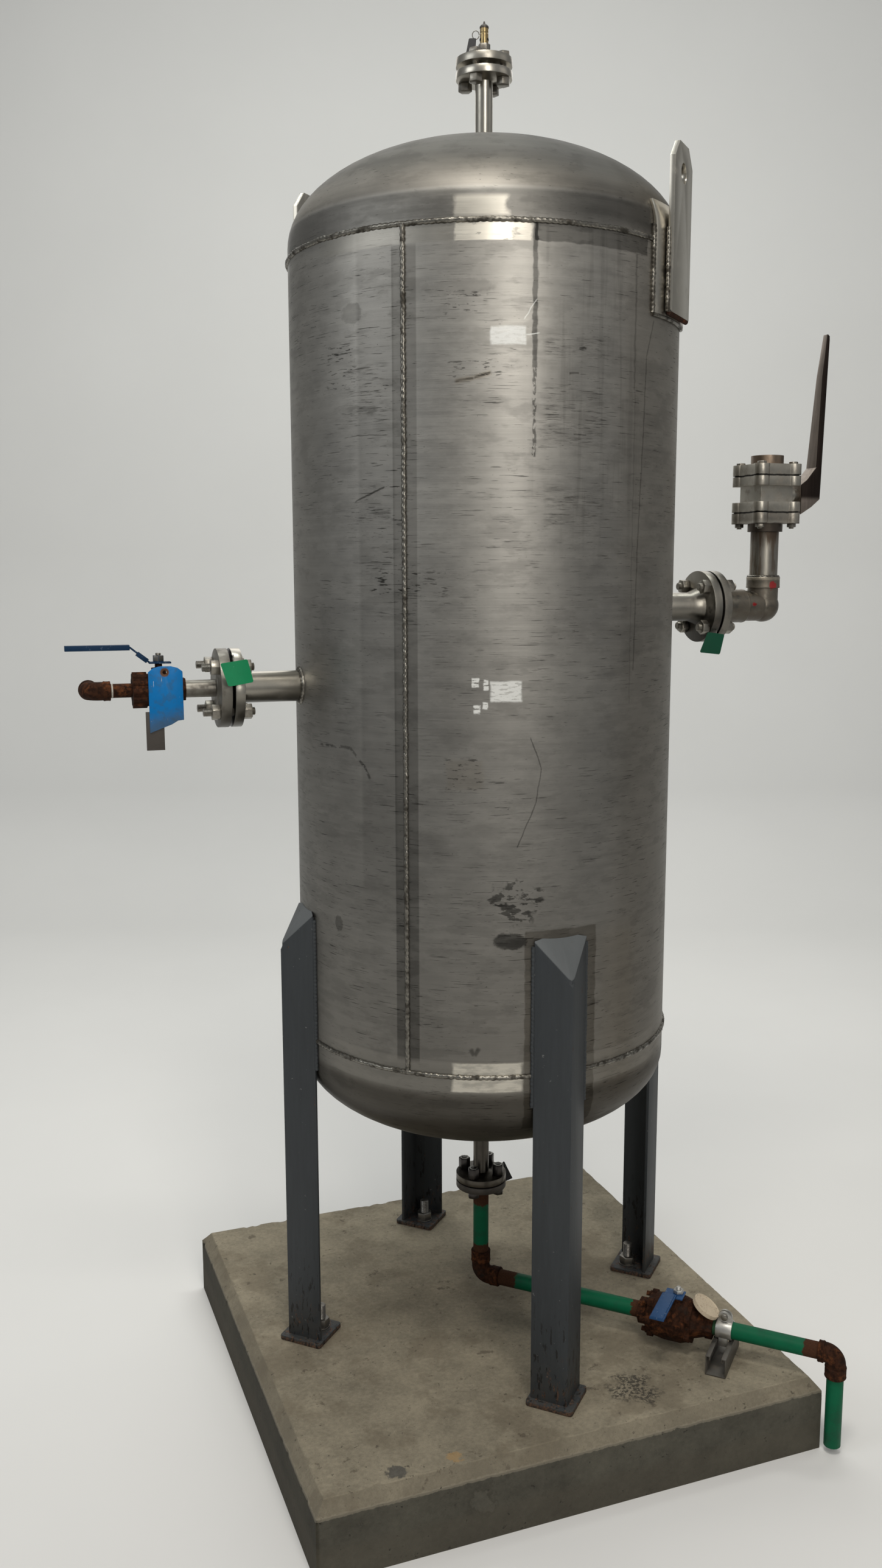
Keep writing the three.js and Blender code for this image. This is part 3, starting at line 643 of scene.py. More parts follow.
class ShellMarks:
    """Marks on the shell, by arc from its front and by height, in millimetres"""

    def __init__(self, f):
        along, across = f.towards(FRONT_AZIMUTH), f.towards(FRONT_AZIMUTH + 90)
        self.f = f
        turn = f.node("ShaderNodeMath", {"operation": "ARCTAN2"}, {0: across, 1: along})
        self.arc = turn * TANK_RADIUS
        self.sheet = f.node("ShaderNodeCombineXYZ", None, {0: self.arc, 1: f.z, 2: 0.0})
        self.drift = self.noise(22) - 0.5
        self.ragged = (self.arc + self.drift * 9, f.z + (self.noise(30, offset=4.0) - 0.5) * 7)

    def noise(self, size, detail=3, stretch=(1, 1, 1), rough=0.55, offset=0.0):
        return self.f.noise(size, detail, stretch, rough, offset, self.sheet)

    def streaks(self, wide, high, rough=0.55, offset=0.0, detail=3):
        return self.noise(1, detail, (wide, high, 1), rough, offset)

    def patch(self, left, right, low, high, soft=1.5):
        arc, height = self.ragged
        return arc.between(left, right, soft) * height.between(low, high, soft)

    def patches(self, rows):
        """Adds up patches, each with its own strength"""
        total = None
        for *where, strength in rows:
            part = self.patch(*where) * strength
            total = part if total is None else total + part
        return total

    def smear(self, arc, height, wide, high, size, offset, torn=1.4):
        """An oval mark with a ragged rim"""
        across, up = (self.arc - arc) / wide, (self.f.z - height) / high
        reach = (across * across + up * up) ** 0.5
        rim = self.noise(size, 4, rough=0.65, offset=offset) - 0.5
        return (reach + rim * torn).below(1, 0.14)

    def line(self, points, width):
        """A thin scratch through points of arc and height"""
        mark = None
        for start, end in zip(points, points[1:]):
            run = Vector(end) - Vector(start)
            unit = run.normalized()
            arc, height = self.arc - start[0], self.f.z - start[1]
            forward = arc * unit.x + height * unit.y
            side = height * unit.x - arc * unit.y + self.drift * 5
            part = side.between(-width, width, width * 0.6) * forward.between(0, run.length, 3)
            mark = part if mark is None else mark.most(part)
        return mark


# Marks of the shell: for a patch its left, right, low and high edges, its softness and its strength
GRIME_CORNER = (80, 226, 700, 1091)
# In the table below, the second row is painted shade, not a stain: the top weld band darkened right of the
# front, where it faces away from the lamp
STAINS_AND_SHADE = (
    (*GRIME_CORNER, 1.6, 0.36), (88, 330, 2292, 2322, 1.5, 0.50), (84.5, 93, 2086, 2327, 1.6, 0.46),
    (297, 301.5, 2060, 2290, 1.5, 0.3), (300, 303, 1500, 2060, 1.2, 0.16),
    (163, 187, 1976, 1978.5, 0.8, 0.5), (153, 171, 2077.5, 2081, 0.8, 0.5),
    (171, 185, 2119.5, 2123.5, 1, 0.5))
SCUFFS = (
    (-69, 6, 2172, 2212, 3, 1), (-60, 30, 2070, 2098, 3, 1), (-70, 0, 1350, 1412, 3, 1),
    (-318, -240, 2060, 2140, 8, 1), (-210, -60, 1700, 1745, 8, 1))
SMUDGES = (
    (104, 228, 1962, 2058, 14, 1), (109, 236, 2104, 2142, 10, 1), (112, 224, 1814, 1888, 12, 1),
    (-256, -168, 1826, 1856, 4, 1), (-262, -176, 2000, 2100, 12, 1))
CHIPS = (
    (-18, -6, 1538, 1555, 1.5, 1), (2, 10, 1534, 1553, 1.5, 1), (-16, -4, 1492, 1506, 1.5, 1),
    (0, 9, 1500, 1512, 1.5, 1))
BROWN_STAINS = (
    (*GRIME_CORNER, 3, 0.35), (226, 330, 760, 1080, 30, 0.25), (-64, 2, 1354, 1408, 6, 0.25))
# For a smear its middle, its half width and half height, the size and the offset of its clouds, how torn
# its rim is and its strength
SMEARS = (
    (52, 1074, 30, 16, 22, 2.5, 0.9, 0.62), (-305, 1076, 12, 15, 9, 3.5, 0.8, 0.40),
    (-40, 2216, 62, 14, 30, 6.5, 1.4, 0.16), (-250, 2190, 24, 16, 20, 7.5, 1.4, 0.22))
# For a scratch its points, its half width and its strength
RUBBED_SCRATCH = ((-48, 2063), (-16, 2068), (13, 2077))
SCRATCHES = (
    (((356, 2186), (334, 2120), (329, 1990), (318, 1800), (312, 1560)), 1.6, 0.36),
    (((-245, 1865), (-180, 1889)), 1.5, 0.5), (RUBBED_SCRATCH, 2.0, 0.5),
    (((-253, 1980), (-174, 1978)), 0.9, 0.34), (((-252, 1757), (-167, 1758)), 0.9, 0.30),
    (((87, 1448), (108, 1393), (98, 1329), (64, 1249)), 1.1, 0.45),
    (((-20, 868), (-13, 856), (-4, 870)), 4.0, 0.5))
WIDE_SCRATCH = ((-358, 1417), (-266, 1419), (-229, 1384), (-218, 1365))
PAINT_STROKES = ((((74, 2140), (96, 2143)), 1.0, 0.7), (((70, 2165), (92, 2198)), 0.9, 0.5))


def shell_darkness(f, marks):
    """Darker bands that the rolls and the grinding left, with scuffs, smudges and scratches, and painted
    shade and dark reflections on the flanks
    """
    arc, streaks, patch = marks.arc, marks.streaks, marks.patch
    dark = arc.between(-163, -117, 1.4) * f.z.between(836, 2290, 6) * f.z.ramp(1300, 1900, 0.42, 0.30)
    # Painted dark reflection in a band left of the seam
    dark += arc.between(-236, -161, 5) * f.z.between(1180, 2300, 90) * 0.17
    # Painted shade on the right flank and round the back, which turn away from the lamps
    dark += arc.between(281, 900, 14) * 0.07
    dark += marks.patches(STAINS_AND_SHADE)
    flakes = streaks(27, 12, 0.6, 5.5).above(0.50, 0.03)
    dark += marks.smear(64, 1148, 46, 40, 30, 5.5) * flakes * 0.62
    for *shape, strength in SMEARS:
        dark += marks.smear(*shape) * strength
    beads = streaks(4, 9, 0.6, 14.0).above(0.47, 0.04)
    dark += patch(86, 91.5, 1937, 2086, 1.2) * beads * 0.50
    runs = streaks(19, 330, 0.55, 5.0).above(0.58, 0.08)
    dark += runs * arc.between(100, 300, 50) * f.z.between(1800, 2310, 90) * 0.18
    dark += marks.patches(SCUFFS) * streaks(24, 5, 0.6, 3.3).above(0.60, 0.025) * 0.6
    smudged = streaks(54, 9, 0.62, 41.0, 4).above(0.55, 0.06) * 0.22
    wiped = streaks(34, 2.0, 0.55, 44.0).above(0.60, 0.02) * 0.40
    dark += marks.patches(SMUDGES) * (smudged + wiped)
    dashes = streaks(42, 2.2, 0.5, 6.1).above(0.655, 0.022)
    ticks = streaks(15, 2.2, 0.5, 16.1, 2).above(0.70, 0.02)
    dark += dashes * marks.noise(150, offset=8.8).above(0.46, 0.08) * f.z.below(2340, 12) * 0.50
    dark += ticks * marks.noise(110, offset=28.8).above(0.52, 0.06) * 0.40
    dark += streaks(70, 26, 0.62, 31.0, 4).above(0.56, 0.07) * 0.13
    dark += marks.noise(7, 2, offset=1.2).above(0.765, 0.015) * 0.35
    for points, width, strength in SCRATCHES:
        dark += marks.line(points, width) * strength
    return dark + marks.line(WIDE_SCRATCH, 2.6) * marks.noise(14, 2).above(0.45, 0.05) * 0.5


def shell_finish():
    """Rolled stainless sheet with polished weld bands, handling marks and drips, with painted light and
    shade by height and side and painted highlights on the weld bands
    """
    f = Finish("rolled_stainless", metallic=1.0)
    marks = ShellMarks(f)
    arc, streaks = marks.arc, marks.streaks
    grain = streaks(160, 1.5)
    streak = streaks(340, 11, 0.6, 2.0, 4)
    cloud = marks.noise(170, 4, (1.0, 1.6, 1))
    patina = marks.noise(48, 9, (1.5, 0.8, 1), 0.72, 9.0)
    tone_and_shading = 0.82 + grain * 0.18 + (streak - 0.5) * 0.30 + (cloud - 0.5) * 0.42 + (patina - 0.5) * 0.42
    # Painted light and shade by height: lighter towards the top, darker on the bottom head (partly dirt,
    # partly painted shade), and on the top head darker above the lamp's reflected ring
    for heights in ((700, 2250, 0.76, 1.16), (762, 790, 0.42, 1.0), (2376, 2384, 1.0, 0.84),
                    (2400, 2450, 1.0, 0.46)):
        tone_and_shading *= f.z.ramp(*heights)
    # Painted shade: the top head darker between that ring and the weld and on its right, and the far left
    # flank darker
    tone_and_shading *= 1 - f.z.between(2328, 2376, 4) * 0.42
    tone_and_shading *= 1 - f.z.above(2340, 10) * arc.above(110, 110) * 0.42
    tone_and_shading *= 1 - arc.below(-440, 60) * 0.16
    dark = shell_darkness(f, marks)

    # Grey bands of the girth welds, ground smooth, with painted highlights where they face the lamp and a
    # painted highlight on the top head's knuckle
    top_band = f.z.between(2292, 2323, 2) * arc.below(84, 4)
    band = (top_band + f.z.between(780, 842, 2) * 0.45) * arc.between(-330, 420, 30)
    torn = streaks(34, 13, 0.62, 7.7, 4)
    wave = (marks.noise(26, offset=6.6) - 0.5) * 26
    waved = arc + wave
    lit = waved.between(-48, 46, 3) + waved.between(46, 80, 2) * 0.35
    # Painted highlights, brighter than the polish, where the lamp would reflect
    bright = f.z.between(2331, 2364, 5) * waved.between(-50, 40, 6) * 0.50
    bright += f.z.between(2292, 2322, 1) * lit * torn.above(0.36, 0.05)
    bright += ((f.z + wave * 0.15).between(784, 840, 2) * (arc + wave * 0.5).between(-54, 76, 4)
               * (0.45 + torn.above(0.47, 0.12) * 0.35))

    # Paint stick marks, rubbed and chipped
    worn = marks.noise(7, 4, (2.6, 0.6, 1), 0.65).above(0.43, 0.05)
    white = (marks.patch(13, 73, 2123, 2153, 2.5) * worn.most(0.7)
             + marks.patch(13.5, 70, 1513, 1549, 2.5) * worn.most(0.5)) * 0.9
    white += marks.patches(CHIPS) * worn
    for points, width, strength in PAINT_STROKES:
        white += marks.line(points, width) * strength

    brown = arc.between(270, 520, 60) * 0.30 + f.z.below(1000, 260) * 0.16
    brown += f.z.above(2380, 6) * 0.25 + f.z.below(776, 8) * 0.30 + marks.patches(BROWN_STAINS)
    brown += marks.line(RUBBED_SCRATCH, 4.0) * 0.5

    steel = f.mix(brown.at_most(), colours().steel, (0.250, 0.215, 0.165))
    polished = colours().polished
    colour = f.over(
        f.tint(steel, tone_and_shading * (1 - dark.at_most(0.85))), (band * 0.45, shade(polished, 0.62)),
        (bright, f.tint(shade(polished, 1.40), 0.8 + grain * 0.4)),
        (white.at_most(0.92), (0.66, 0.66, 0.63)))
    rough = 0.42 + f.z.above(2385, 30) * 0.13 + grain * 0.10 + (patina - 0.5) * 0.20
    rough += dark * 0.22 - bright * 0.04 - band * 0.05
    return f.skin(colour, rough, 1 - white.at_most() * 0.9,
                  [(cloud, 1.2), (streak, 0.22), (grain, 0.05)])


def steel_finish(name, base, roughness, dirt, dirt_colour, size=14, under_shade=None, joint=None):
    """Plain steel with dull patches and dirt. A side pipe's underside gets painted shade, given as the
    pipe's height, its reach and its depth; a joint, as in LEFT_JOINT, is painted black as the shade in its
    gap"""
    f = Finish(name, metallic=1.0)
    patches = f.noise(size * 3, 4)
    fine = f.noise(size * 0.25)
    soil = f.noise(size * 1.6, 5, rough=0.6, offset=3.0).above(0.72 - dirt * 0.28, 0.16)
    tone_and_shading = 0.82 + patches * 0.26 + fine * 0.10
    # Painted shade, darker towards the underside of a side pipe or flange
    if under_shade:
        height, reach, depth = under_shade
        tone_and_shading *= f.z.ramp(height - reach, height + reach * 0.25, 1 - depth, 1.0)
    if isinstance(base, float):
        base = shade(colours().polished, base)
    elif isinstance(base, str):
        base = getattr(colours(), base)
    colour = f.over(f.tint(base, tone_and_shading), (soil * min(0.75, 0.25 + dirt * 0.7), dirt_colour))
    if joint:
        azimuth, near, far = joint
        # Painted shade, near black, in the gap between the two flanges
        colour = f.mix(f.towards(azimuth).between(near, far, 0.4) * 0.9, colour, (0.010, 0.009, 0.008))
    return f.skin(colour, roughness + (patches - 0.5) * 0.12 + soil * 0.16, 1 - soil * 0.5,
                  [(fine, 0.03), (soil, 0.03)])


def plain_finish(name, base, roughness, wear=0.15, worn=(0.3, 0.3, 0.3), size=20, metallic=0.0,
                 gloss=0.3):
    """Coloured sheet or rubber with soft mottling and worn specks"""
    f = Finish(name, metallic, gloss)
    cloud = f.noise(size, 4)
    specks = f.noise(size * 0.3, 4, rough=0.68, offset=4.0).above(0.74 - wear * 0.3, 0.02)
    fine = f.noise(size * 0.12)
    if isinstance(base, str):
        base = getattr(colours(), base)
    colour = f.over(f.tint(base, 0.80 + cloud * 0.30 + fine * 0.10), (specks * 0.8, worn))
    return f.skin(colour, roughness + cloud * 0.1, None, [(fine, 0.08), (specks, -0.12)])


def cast_finish():
    """Cast stainless valve with painted shade in the gaps between its plates, grime and painted shade
    below them, and heat-stained necks
    """
    f = Finish("cast_stainless", metallic=1.0)
    cloud = f.noise(30, 4)
    fine = f.noise(3)
    soil = f.noise(20, 5, rough=0.6, offset=3.0).above(0.60, 0.14)
    height = f.z - RIGHT_STEM_HEIGHT + (f.noise(16, offset=7.0) - 0.5) * 5
    # Painted shade, near black, in the gaps between the plates
    joint = height.between(-41.0, -37.2, 0.8) + height.between(37.2, 41.0, 0.8)
    # Partly grime and partly painted shade: under the lower gap, and a band above the middle
    grime = height.between(-58, -38, 5) * cloud.above(0.46, 0.08) + height.between(12, 20, 4) * 0.6
    colour = f.over(
        f.tint(shade(colours().polished, 0.74), 0.70 + cloud * 0.42 + fine * 0.12),
        (soil * 0.5, (0.110, 0.080, 0.055)),
        (grime.at_most() * 0.40, (0.090, 0.068, 0.048)),
        (height.above(63.5, 1.5) * 0.75, (0.110, 0.064, 0.034)),
        (height.below(-62, 1.5) * 0.85, (0.040, 0.026, 0.019)),
        (joint.at_most() * 0.85, (0.016, 0.013, 0.011)))
    return f.skin(colour, 0.40 + soil * 0.14 + (cloud - 0.5) * 0.12, 1 - soil * 0.3,
                  [(fine, 0.08), (cloud, 0.3)])


def lever_finish():
    """Grey-brown lever steel whose near flange carries painted shade"""
    f = Finish("grey_lever_steel", metallic=1.0)
    cloud = f.noise(40, 4)
    runs = f.noise(1, 4, (6, 6, 60), 0.6, 3.0)
    fine = f.noise(3)
    # Painted shade on the outer face of the lever's flange on its -Y side
    half_width = (19.5 - (f.z - (RIGHT_STEM_HEIGHT + 50)) * 0.039).at_most(19.5)
    flange = (f.y + half_width).below(2.4, 0.4) * f.z.above(RIGHT_STEM_HEIGHT - 8, 6)
    colour = f.over(
        f.tint((0.250, 0.212, 0.182), 0.66 + cloud * 0.40 + (runs - 0.5) * 0.8 + fine * 0.1),
        (flange * 0.96, f.tint((0.018, 0.013, 0.011), 0.6 + runs * 0.8)))
    return f.skin(colour, 0.50 + (cloud - 0.5) * 0.1 + flange * 0.1, None, [(fine, 0.06)])


def weld_finish():
    """Weld metal: bright crests, dark oxide in the ripples"""
    f = Finish("weld_metal", metallic=1.0)
    grit = f.noise(4, 4)
    oxide = f.noise(16, 4, offset=2.0).above(0.54, 0.10)
    crests = f.tint(shade(colours().polished, 0.54), 0.30 + grit * 0.9)
    return f.skin(f.mix(oxide * 0.8, crests, (0.034, 0.029, 0.023)), 0.26 + oxide * 0.3 + grit * 0.12,
                  None, [(grit, 0.5)])


def paint_finish():
    """Blue-grey primer, brushed and dusty, chipped to rust near the floor, with painted light on the
    sloping top caps
    """
    f = Finish("leg_paint", gloss=0.35)
    cloud = f.noise(90, 4, (1, 1, 3))
    fine = f.noise(5, 4)
    runs = f.noise(7, 3, (1, 1, 14), offset=2.0)
    low = f.z.below(215, 80)
    foot = (f.z + (f.noise(14, 4, offset=8.0) - 0.5) * 22).below(157.5, 2)
    chips = f.noise(10, 4, (1, 1, 3), 0.65, 5.0)
    bare = (chips.above(0.705, 0.012) + chips.above(0.60, 0.02) * low * 0.9 + foot * 0.8).at_most()
    reach = (f.x * f.x).most(f.y * f.y) ** 0.5
    # Painted light: the sloping top cap lighter, as lit from above
    cap = (f.z + reach * CAP_SLOPE).above(CAP_PLANE - 2, 0.5)
    flaked = f.noise(1, 3, (9, 9, 34), 0.6, 12.0).above(0.605, 0.012) * f.z.below(330, 60)
    colour = f.over(
        f.tint(colours().paint, 0.70 + cloud * 0.40 + (runs - 0.5) * 0.36 + fine * 0.10),
        (low * f.noise(26, 4, offset=7.0).above(0.46, 0.14) * 0.20, (0.095, 0.078, 0.055)),
        (f.noise(11, offset=9.0).above(0.735, 0.02) * 0.45, (0.20, 0.20, 0.19)),
        (cap * 0.75, f.tint((0.105, 0.112, 0.114), 0.75 + cloud * 0.5)),
        (bare * 0.85, f.mix(fine.above(0.5, 0.1), (0.030, 0.018, 0.012), (0.130, 0.062, 0.030))),
        (flaked * 0.85, (0.007, 0.006, 0.005)))
    return f.skin(colour, 0.50 + cloud * 0.16 + bare * 0.2, None,
                  [(runs, 0.25), (fine, 0.10), (bare, -0.25)])


def rust_finish():
    """Scaly brown rust with dark and orange patches"""
    f = Finish("rusty_iron", gloss=0.12)
    scale = f.noise(9, 5, rough=0.65)
    patches = f.noise(34, 4, offset=4.0)
    rust = colours().rust
    colour = f.over(
        f.mix(scale.above(0.5, 0.16), shade(rust, 0.42), shade(rust, 1.25)),
        (patches.above(0.59, 0.07) * scale.above(0.50, 0.12) * 0.55, (0.150, 0.050, 0.016)),
        (patches.below(0.40, 0.06) * 0.6, (0.020, 0.015, 0.012)))
    return f.skin(colour, 0.78 + scale * 0.18, None, [(scale, 0.9), (f.noise(2.2), 0.35)])


def green_finish():
    """Green painted pipe, rusty where the paint stops at each fitting"""
    f = Finish("green_pipe_paint", gloss=0.16)
    reach = f.towards(-45)
    ragged = f.noise(9, 4, rough=0.62) - 0.5
    cloud = f.noise(26)
    fine = f.noise(3)
    edge = reach + ragged * 22
    top = f.z + ragged * 16
    on_run = edge.above(20, 2) * edge.below(86, 3) + edge.between(346, 372, 2)
    on_run += edge.between(512, 548, 1) * 0.4 + edge.between(700, 735, 2)
    on_drop = (top.above(374, 3) + top.between(240, 283, 3)) * edge.below(40, 6)
    rusty = (on_run * f.z.between(190, 232, 3) + on_drop).at_most()
    chips = f.noise(6, 4, rough=0.7, offset=6.0).above(0.72, 0.012)
    grime = f.noise(40, 4, rough=0.6, offset=11.0).above(0.56, 0.08)
    colour = f.over(
        f.tint(colours().green, 0.74 + cloud * 0.42 + fine * 0.08),
        (grime * 0.35, (0.012, 0.040, 0.026)),
        (chips * 0.8, (0.050, 0.030, 0.018)),
        (rusty, f.mix(fine, (0.022, 0.010, 0.006), (0.080, 0.032, 0.014))))
    return f.skin(colour, 0.44 + cloud * 0.14 + rusty * 0.4, None, [(fine, 0.14), (rusty, -0.5)])


# Marks that stand at one place, in millimetres: a middle, or a middle and how far it reaches
SPECKLED_STAIN = (159, -412, 150)
PLINTH_HOLE = (-361, -481, 150)
OCHRE_SPOT = (-248, -480, 150)
SCRAPE = (-208, -522, 76)
PLATE_EYELET = LEFT @ Vector((35, -31.8, 645.5))
RED_DABS = (((669.4, -35.7, 1708.1), 9), ((626.4, -33, 1667.8), 4.5))


def concrete_finish():
    """Trowelled concrete top and rough cast sides, with pits and stains; the sides carry painted shade,
    the left side most, and grow darker towards the floor
    """
    f = Finish("weathered_concrete", gloss=0.3)
    broad = f.noise(330, 4, rough=0.6)
    cloud = f.noise(80, 5, rough=0.62, offset=2.0)
    sand = f.noise(2.6)
    grit = f.noise(9, 4, rough=0.7, offset=21.0)
    pits = f.noise(15, 4, rough=0.7, offset=6.0).above(0.685, 0.02)
    holes = f.noise(6, offset=9.0).above(0.70, 0.02)
    side = 1 - f.z.above(125.5, 1.0)
    chamfer = f.z.between(126, 148.5, 1)
    arris = (f.z + (grit - 0.5) * 6).between(121.5, 127.5, 1)
    # The sides darker towards the floor
    darker_foot_band = (f.z + (f.noise(60, offset=3.0) - 0.5) * 16).below(62, 12) * side
    stain = f.noise(130, 5, rough=0.66, offset=12.0).above(0.565, 0.06)
    spots = f.noise(34, 5, rough=0.72, offset=15.0).above(0.645, 0.03)
    tone = 1.09 + (broad - 0.5) * 0.9 + (cloud - 0.5) * 0.9 + (grit - 0.5) * 0.9 + (sand - 0.5) * 0.35

    def spot(place, size, rough, offset, ragged):
        """Distance from a place, with ragged rings"""
        return f.near(place) + (f.noise(size, 4, rough=rough, offset=offset) - 0.5) * ragged

    speckle = f.near(SPECKLED_STAIN) + (f.noise(40, offset=17.0) - 0.5) * 110
    speckles = f.noise(6, 4, rough=0.7, offset=19.0).above(0.50, 0.04)
    hole = spot(PLINTH_HOLE, 12, 0.7, 23.0, 34)
    ochre = spot(OCHRE_SPOT, 14, 0.7, 25.0, 40)
    scrape = spot(SCRAPE, 34, 0.68, 29.0, 90)
    # Painted shade: the sides far darker than the top, the left side darkest
    formed_and_shaded = f.mix(f.x.below(-PLINTH_SIDE / 2 + 6, 3), (0.050, 0.049, 0.039), (0.015, 0.0145, 0.0085))
    formed_and_shaded = f.over(
        f.tint(formed_and_shaded, 0.9 + (cloud - 0.5) * 1.3 + (broad - 0.5) * 0.8 + (grit - 0.5) * 0.5),
        (scrape.below(20, 8) * 0.30, (0.105, 0.100, 0.082)),
        (scrape.between(20, 27, 2.5) * 0.5, (0.018, 0.017, 0.013)))
    colour = f.over(
        f.tint(colours().concrete, tone),
        (stain * 0.42, (0.120, 0.096, 0.064)),
        (spots * 0.60, (0.070, 0.054, 0.038)),
        (speckle.below(46, 14) * speckles * 0.8, (0.022, 0.020, 0.018)),
        (hole.below(17, 3) * 0.8, f.mix(grit, (0.020, 0.018, 0.016), (0.090, 0.090, 0.086))),
        (ochre.below(14, 3) * 0.7, (0.330, 0.215, 0.095)),
        (side * 0.86, formed_and_shaded),
        (chamfer * (0.25 + grit.above(0.50, 0.08) * 0.30), (0.100, 0.086, 0.062)),
        (arris * 0.55, (0.240, 0.212, 0.160)),
        (darker_foot_band * 0.35, (0.075, 0.064, 0.046)),
        ((pits + holes * 0.8).at_most() * 0.60, (0.040, 0.034, 0.026)))
    return f.skin(colour, 0.82 + cloud * 0.12, None,
                  [(cloud, 2.0), (grit, 0.9), (pits * side + pits * 0.35, -2.4), (sand, 0.5)])


def elbow_finish():
    """Brown-stained cast stainless with two dabs of red marking paint, painted shade underneath and a
    painted highlight on the upper collar's rim
    """
    f = Finish("stained_cast_elbow", metallic=1.0)
    cloud = f.noise(26, 4)
    fine = f.noise(3)
    soil = f.noise(20, 5, rough=0.62, offset=3.0).above(0.46, 0.12)
    tone_and_shading = 0.68 + cloud * 0.50 + fine * 0.14
    # Painted shade, darker towards the underside
    tone_and_shading *= f.z.ramp(RIGHT_HEIGHT - 34, RIGHT_HEIGHT + 22, 0.45, 1.0)
    dabs = [(f.near(spot) + (f.noise(5, 4, rough=0.65, offset=reach) - 0.5) * 14).below(reach, 1.2)
            for spot, reach in RED_DABS]
    red = dabs[0].most(dabs[1])
    colour = f.over(
        f.tint((0.196, 0.180, 0.148), tone_and_shading),
        (soil * 0.45, (0.062, 0.042, 0.028)),
        # Painted highlight on the upper collar's rim
        (f.z.above(RIGHT_HEIGHT + 56, 1.5) * 0.6, (0.400, 0.360, 0.290)),
        (red, (0.230, 0.012, 0.012)))
    return f.skin(colour, 0.29 + soil * 0.18 + (cloud - 0.5) * 0.14, 1 - soil * 0.3 - red * 0.5,
                  [(fine, 0.15), (cloud, 0.3)])


def nipple_finish():
    """Stainless pipe with brown heat stain and runs below the valve"""
    f = Finish("heat_stained_pipe", metallic=1.0)
    runs = f.noise(1, 4, (9, 9, 90), 0.6, 2.0)
    cloud = f.noise(30, 4)
    heat = (f.z + (runs - 0.5) * 90).above(1800, 24)
    colour = f.over(
        f.tint(shade(colours().polished, 0.66), 0.72 + cloud * 0.30 + (runs - 0.5) * 0.7),
        (runs.above(0.55, 0.05) * 0.6, (0.120, 0.078, 0.046)),
        (heat * 0.85, (0.060, 0.038, 0.024)))
    return f.skin(colour, 0.38 + heat * 0.2 + (cloud - 0.5) * 0.14, 1 - heat * 0.3, [(f.noise(3), 0.06)])


def plate_finish():
    """Bright blue plate with chipped white spots, a rusty eyelet and a grimy torn foot"""
    f = Finish("blue_valve_plate", gloss=0.16)
    cloud = f.noise(30, 4)
    fine = f.noise(3)
    foot = f.z + (f.noise(9, 4) - 0.5) * 26 - (f.x + 620) * 0.22
    grime = foot.below(1478, 18)
    flat = f.node("ShaderNodeCombineXYZ", None, {0: f.x, 1: f.z, 2: 0.0})
    scratches = f.noise(1, 3, (3, 26, 1), 0.6, 2.0, flat).above(0.72, 0.02)
    chips = f.noise(8, rough=0.6, offset=6.0).above(0.715, 0.012)
    colour = f.over(
        f.tint(colours().plate, 0.82 + cloud * 0.26 + fine * 0.08),
        (scratches * 0.6, (0.55, 0.60, 0.62)),
        (chips * 0.8, (0.50, 0.50, 0.46)),
        (f.noise(14, 4, offset=13.0).above(0.56, 0.06) * 0.45, (0.030, 0.090, 0.170)),
        (grime * 0.62, (0.075, 0.080, 0.068)),
        (f.near(PLATE_EYELET).below(8.5, 1.5), (0.10, 0.045, 0.020)))
    return f.skin(colour, 0.34 + grime * 0.4 + cloud * 0.1, None,
                  [(cloud, 0.8), (fine, 0.05), (chips, -0.15)])


def floor_finish():
    """Plain pale studio floor with the faintest mottling"""
    f = Finish("studio_floor")
    return f.skin(f.tint(colours().floor, 0.97 + f.noise(700) * 0.06), 0.75)


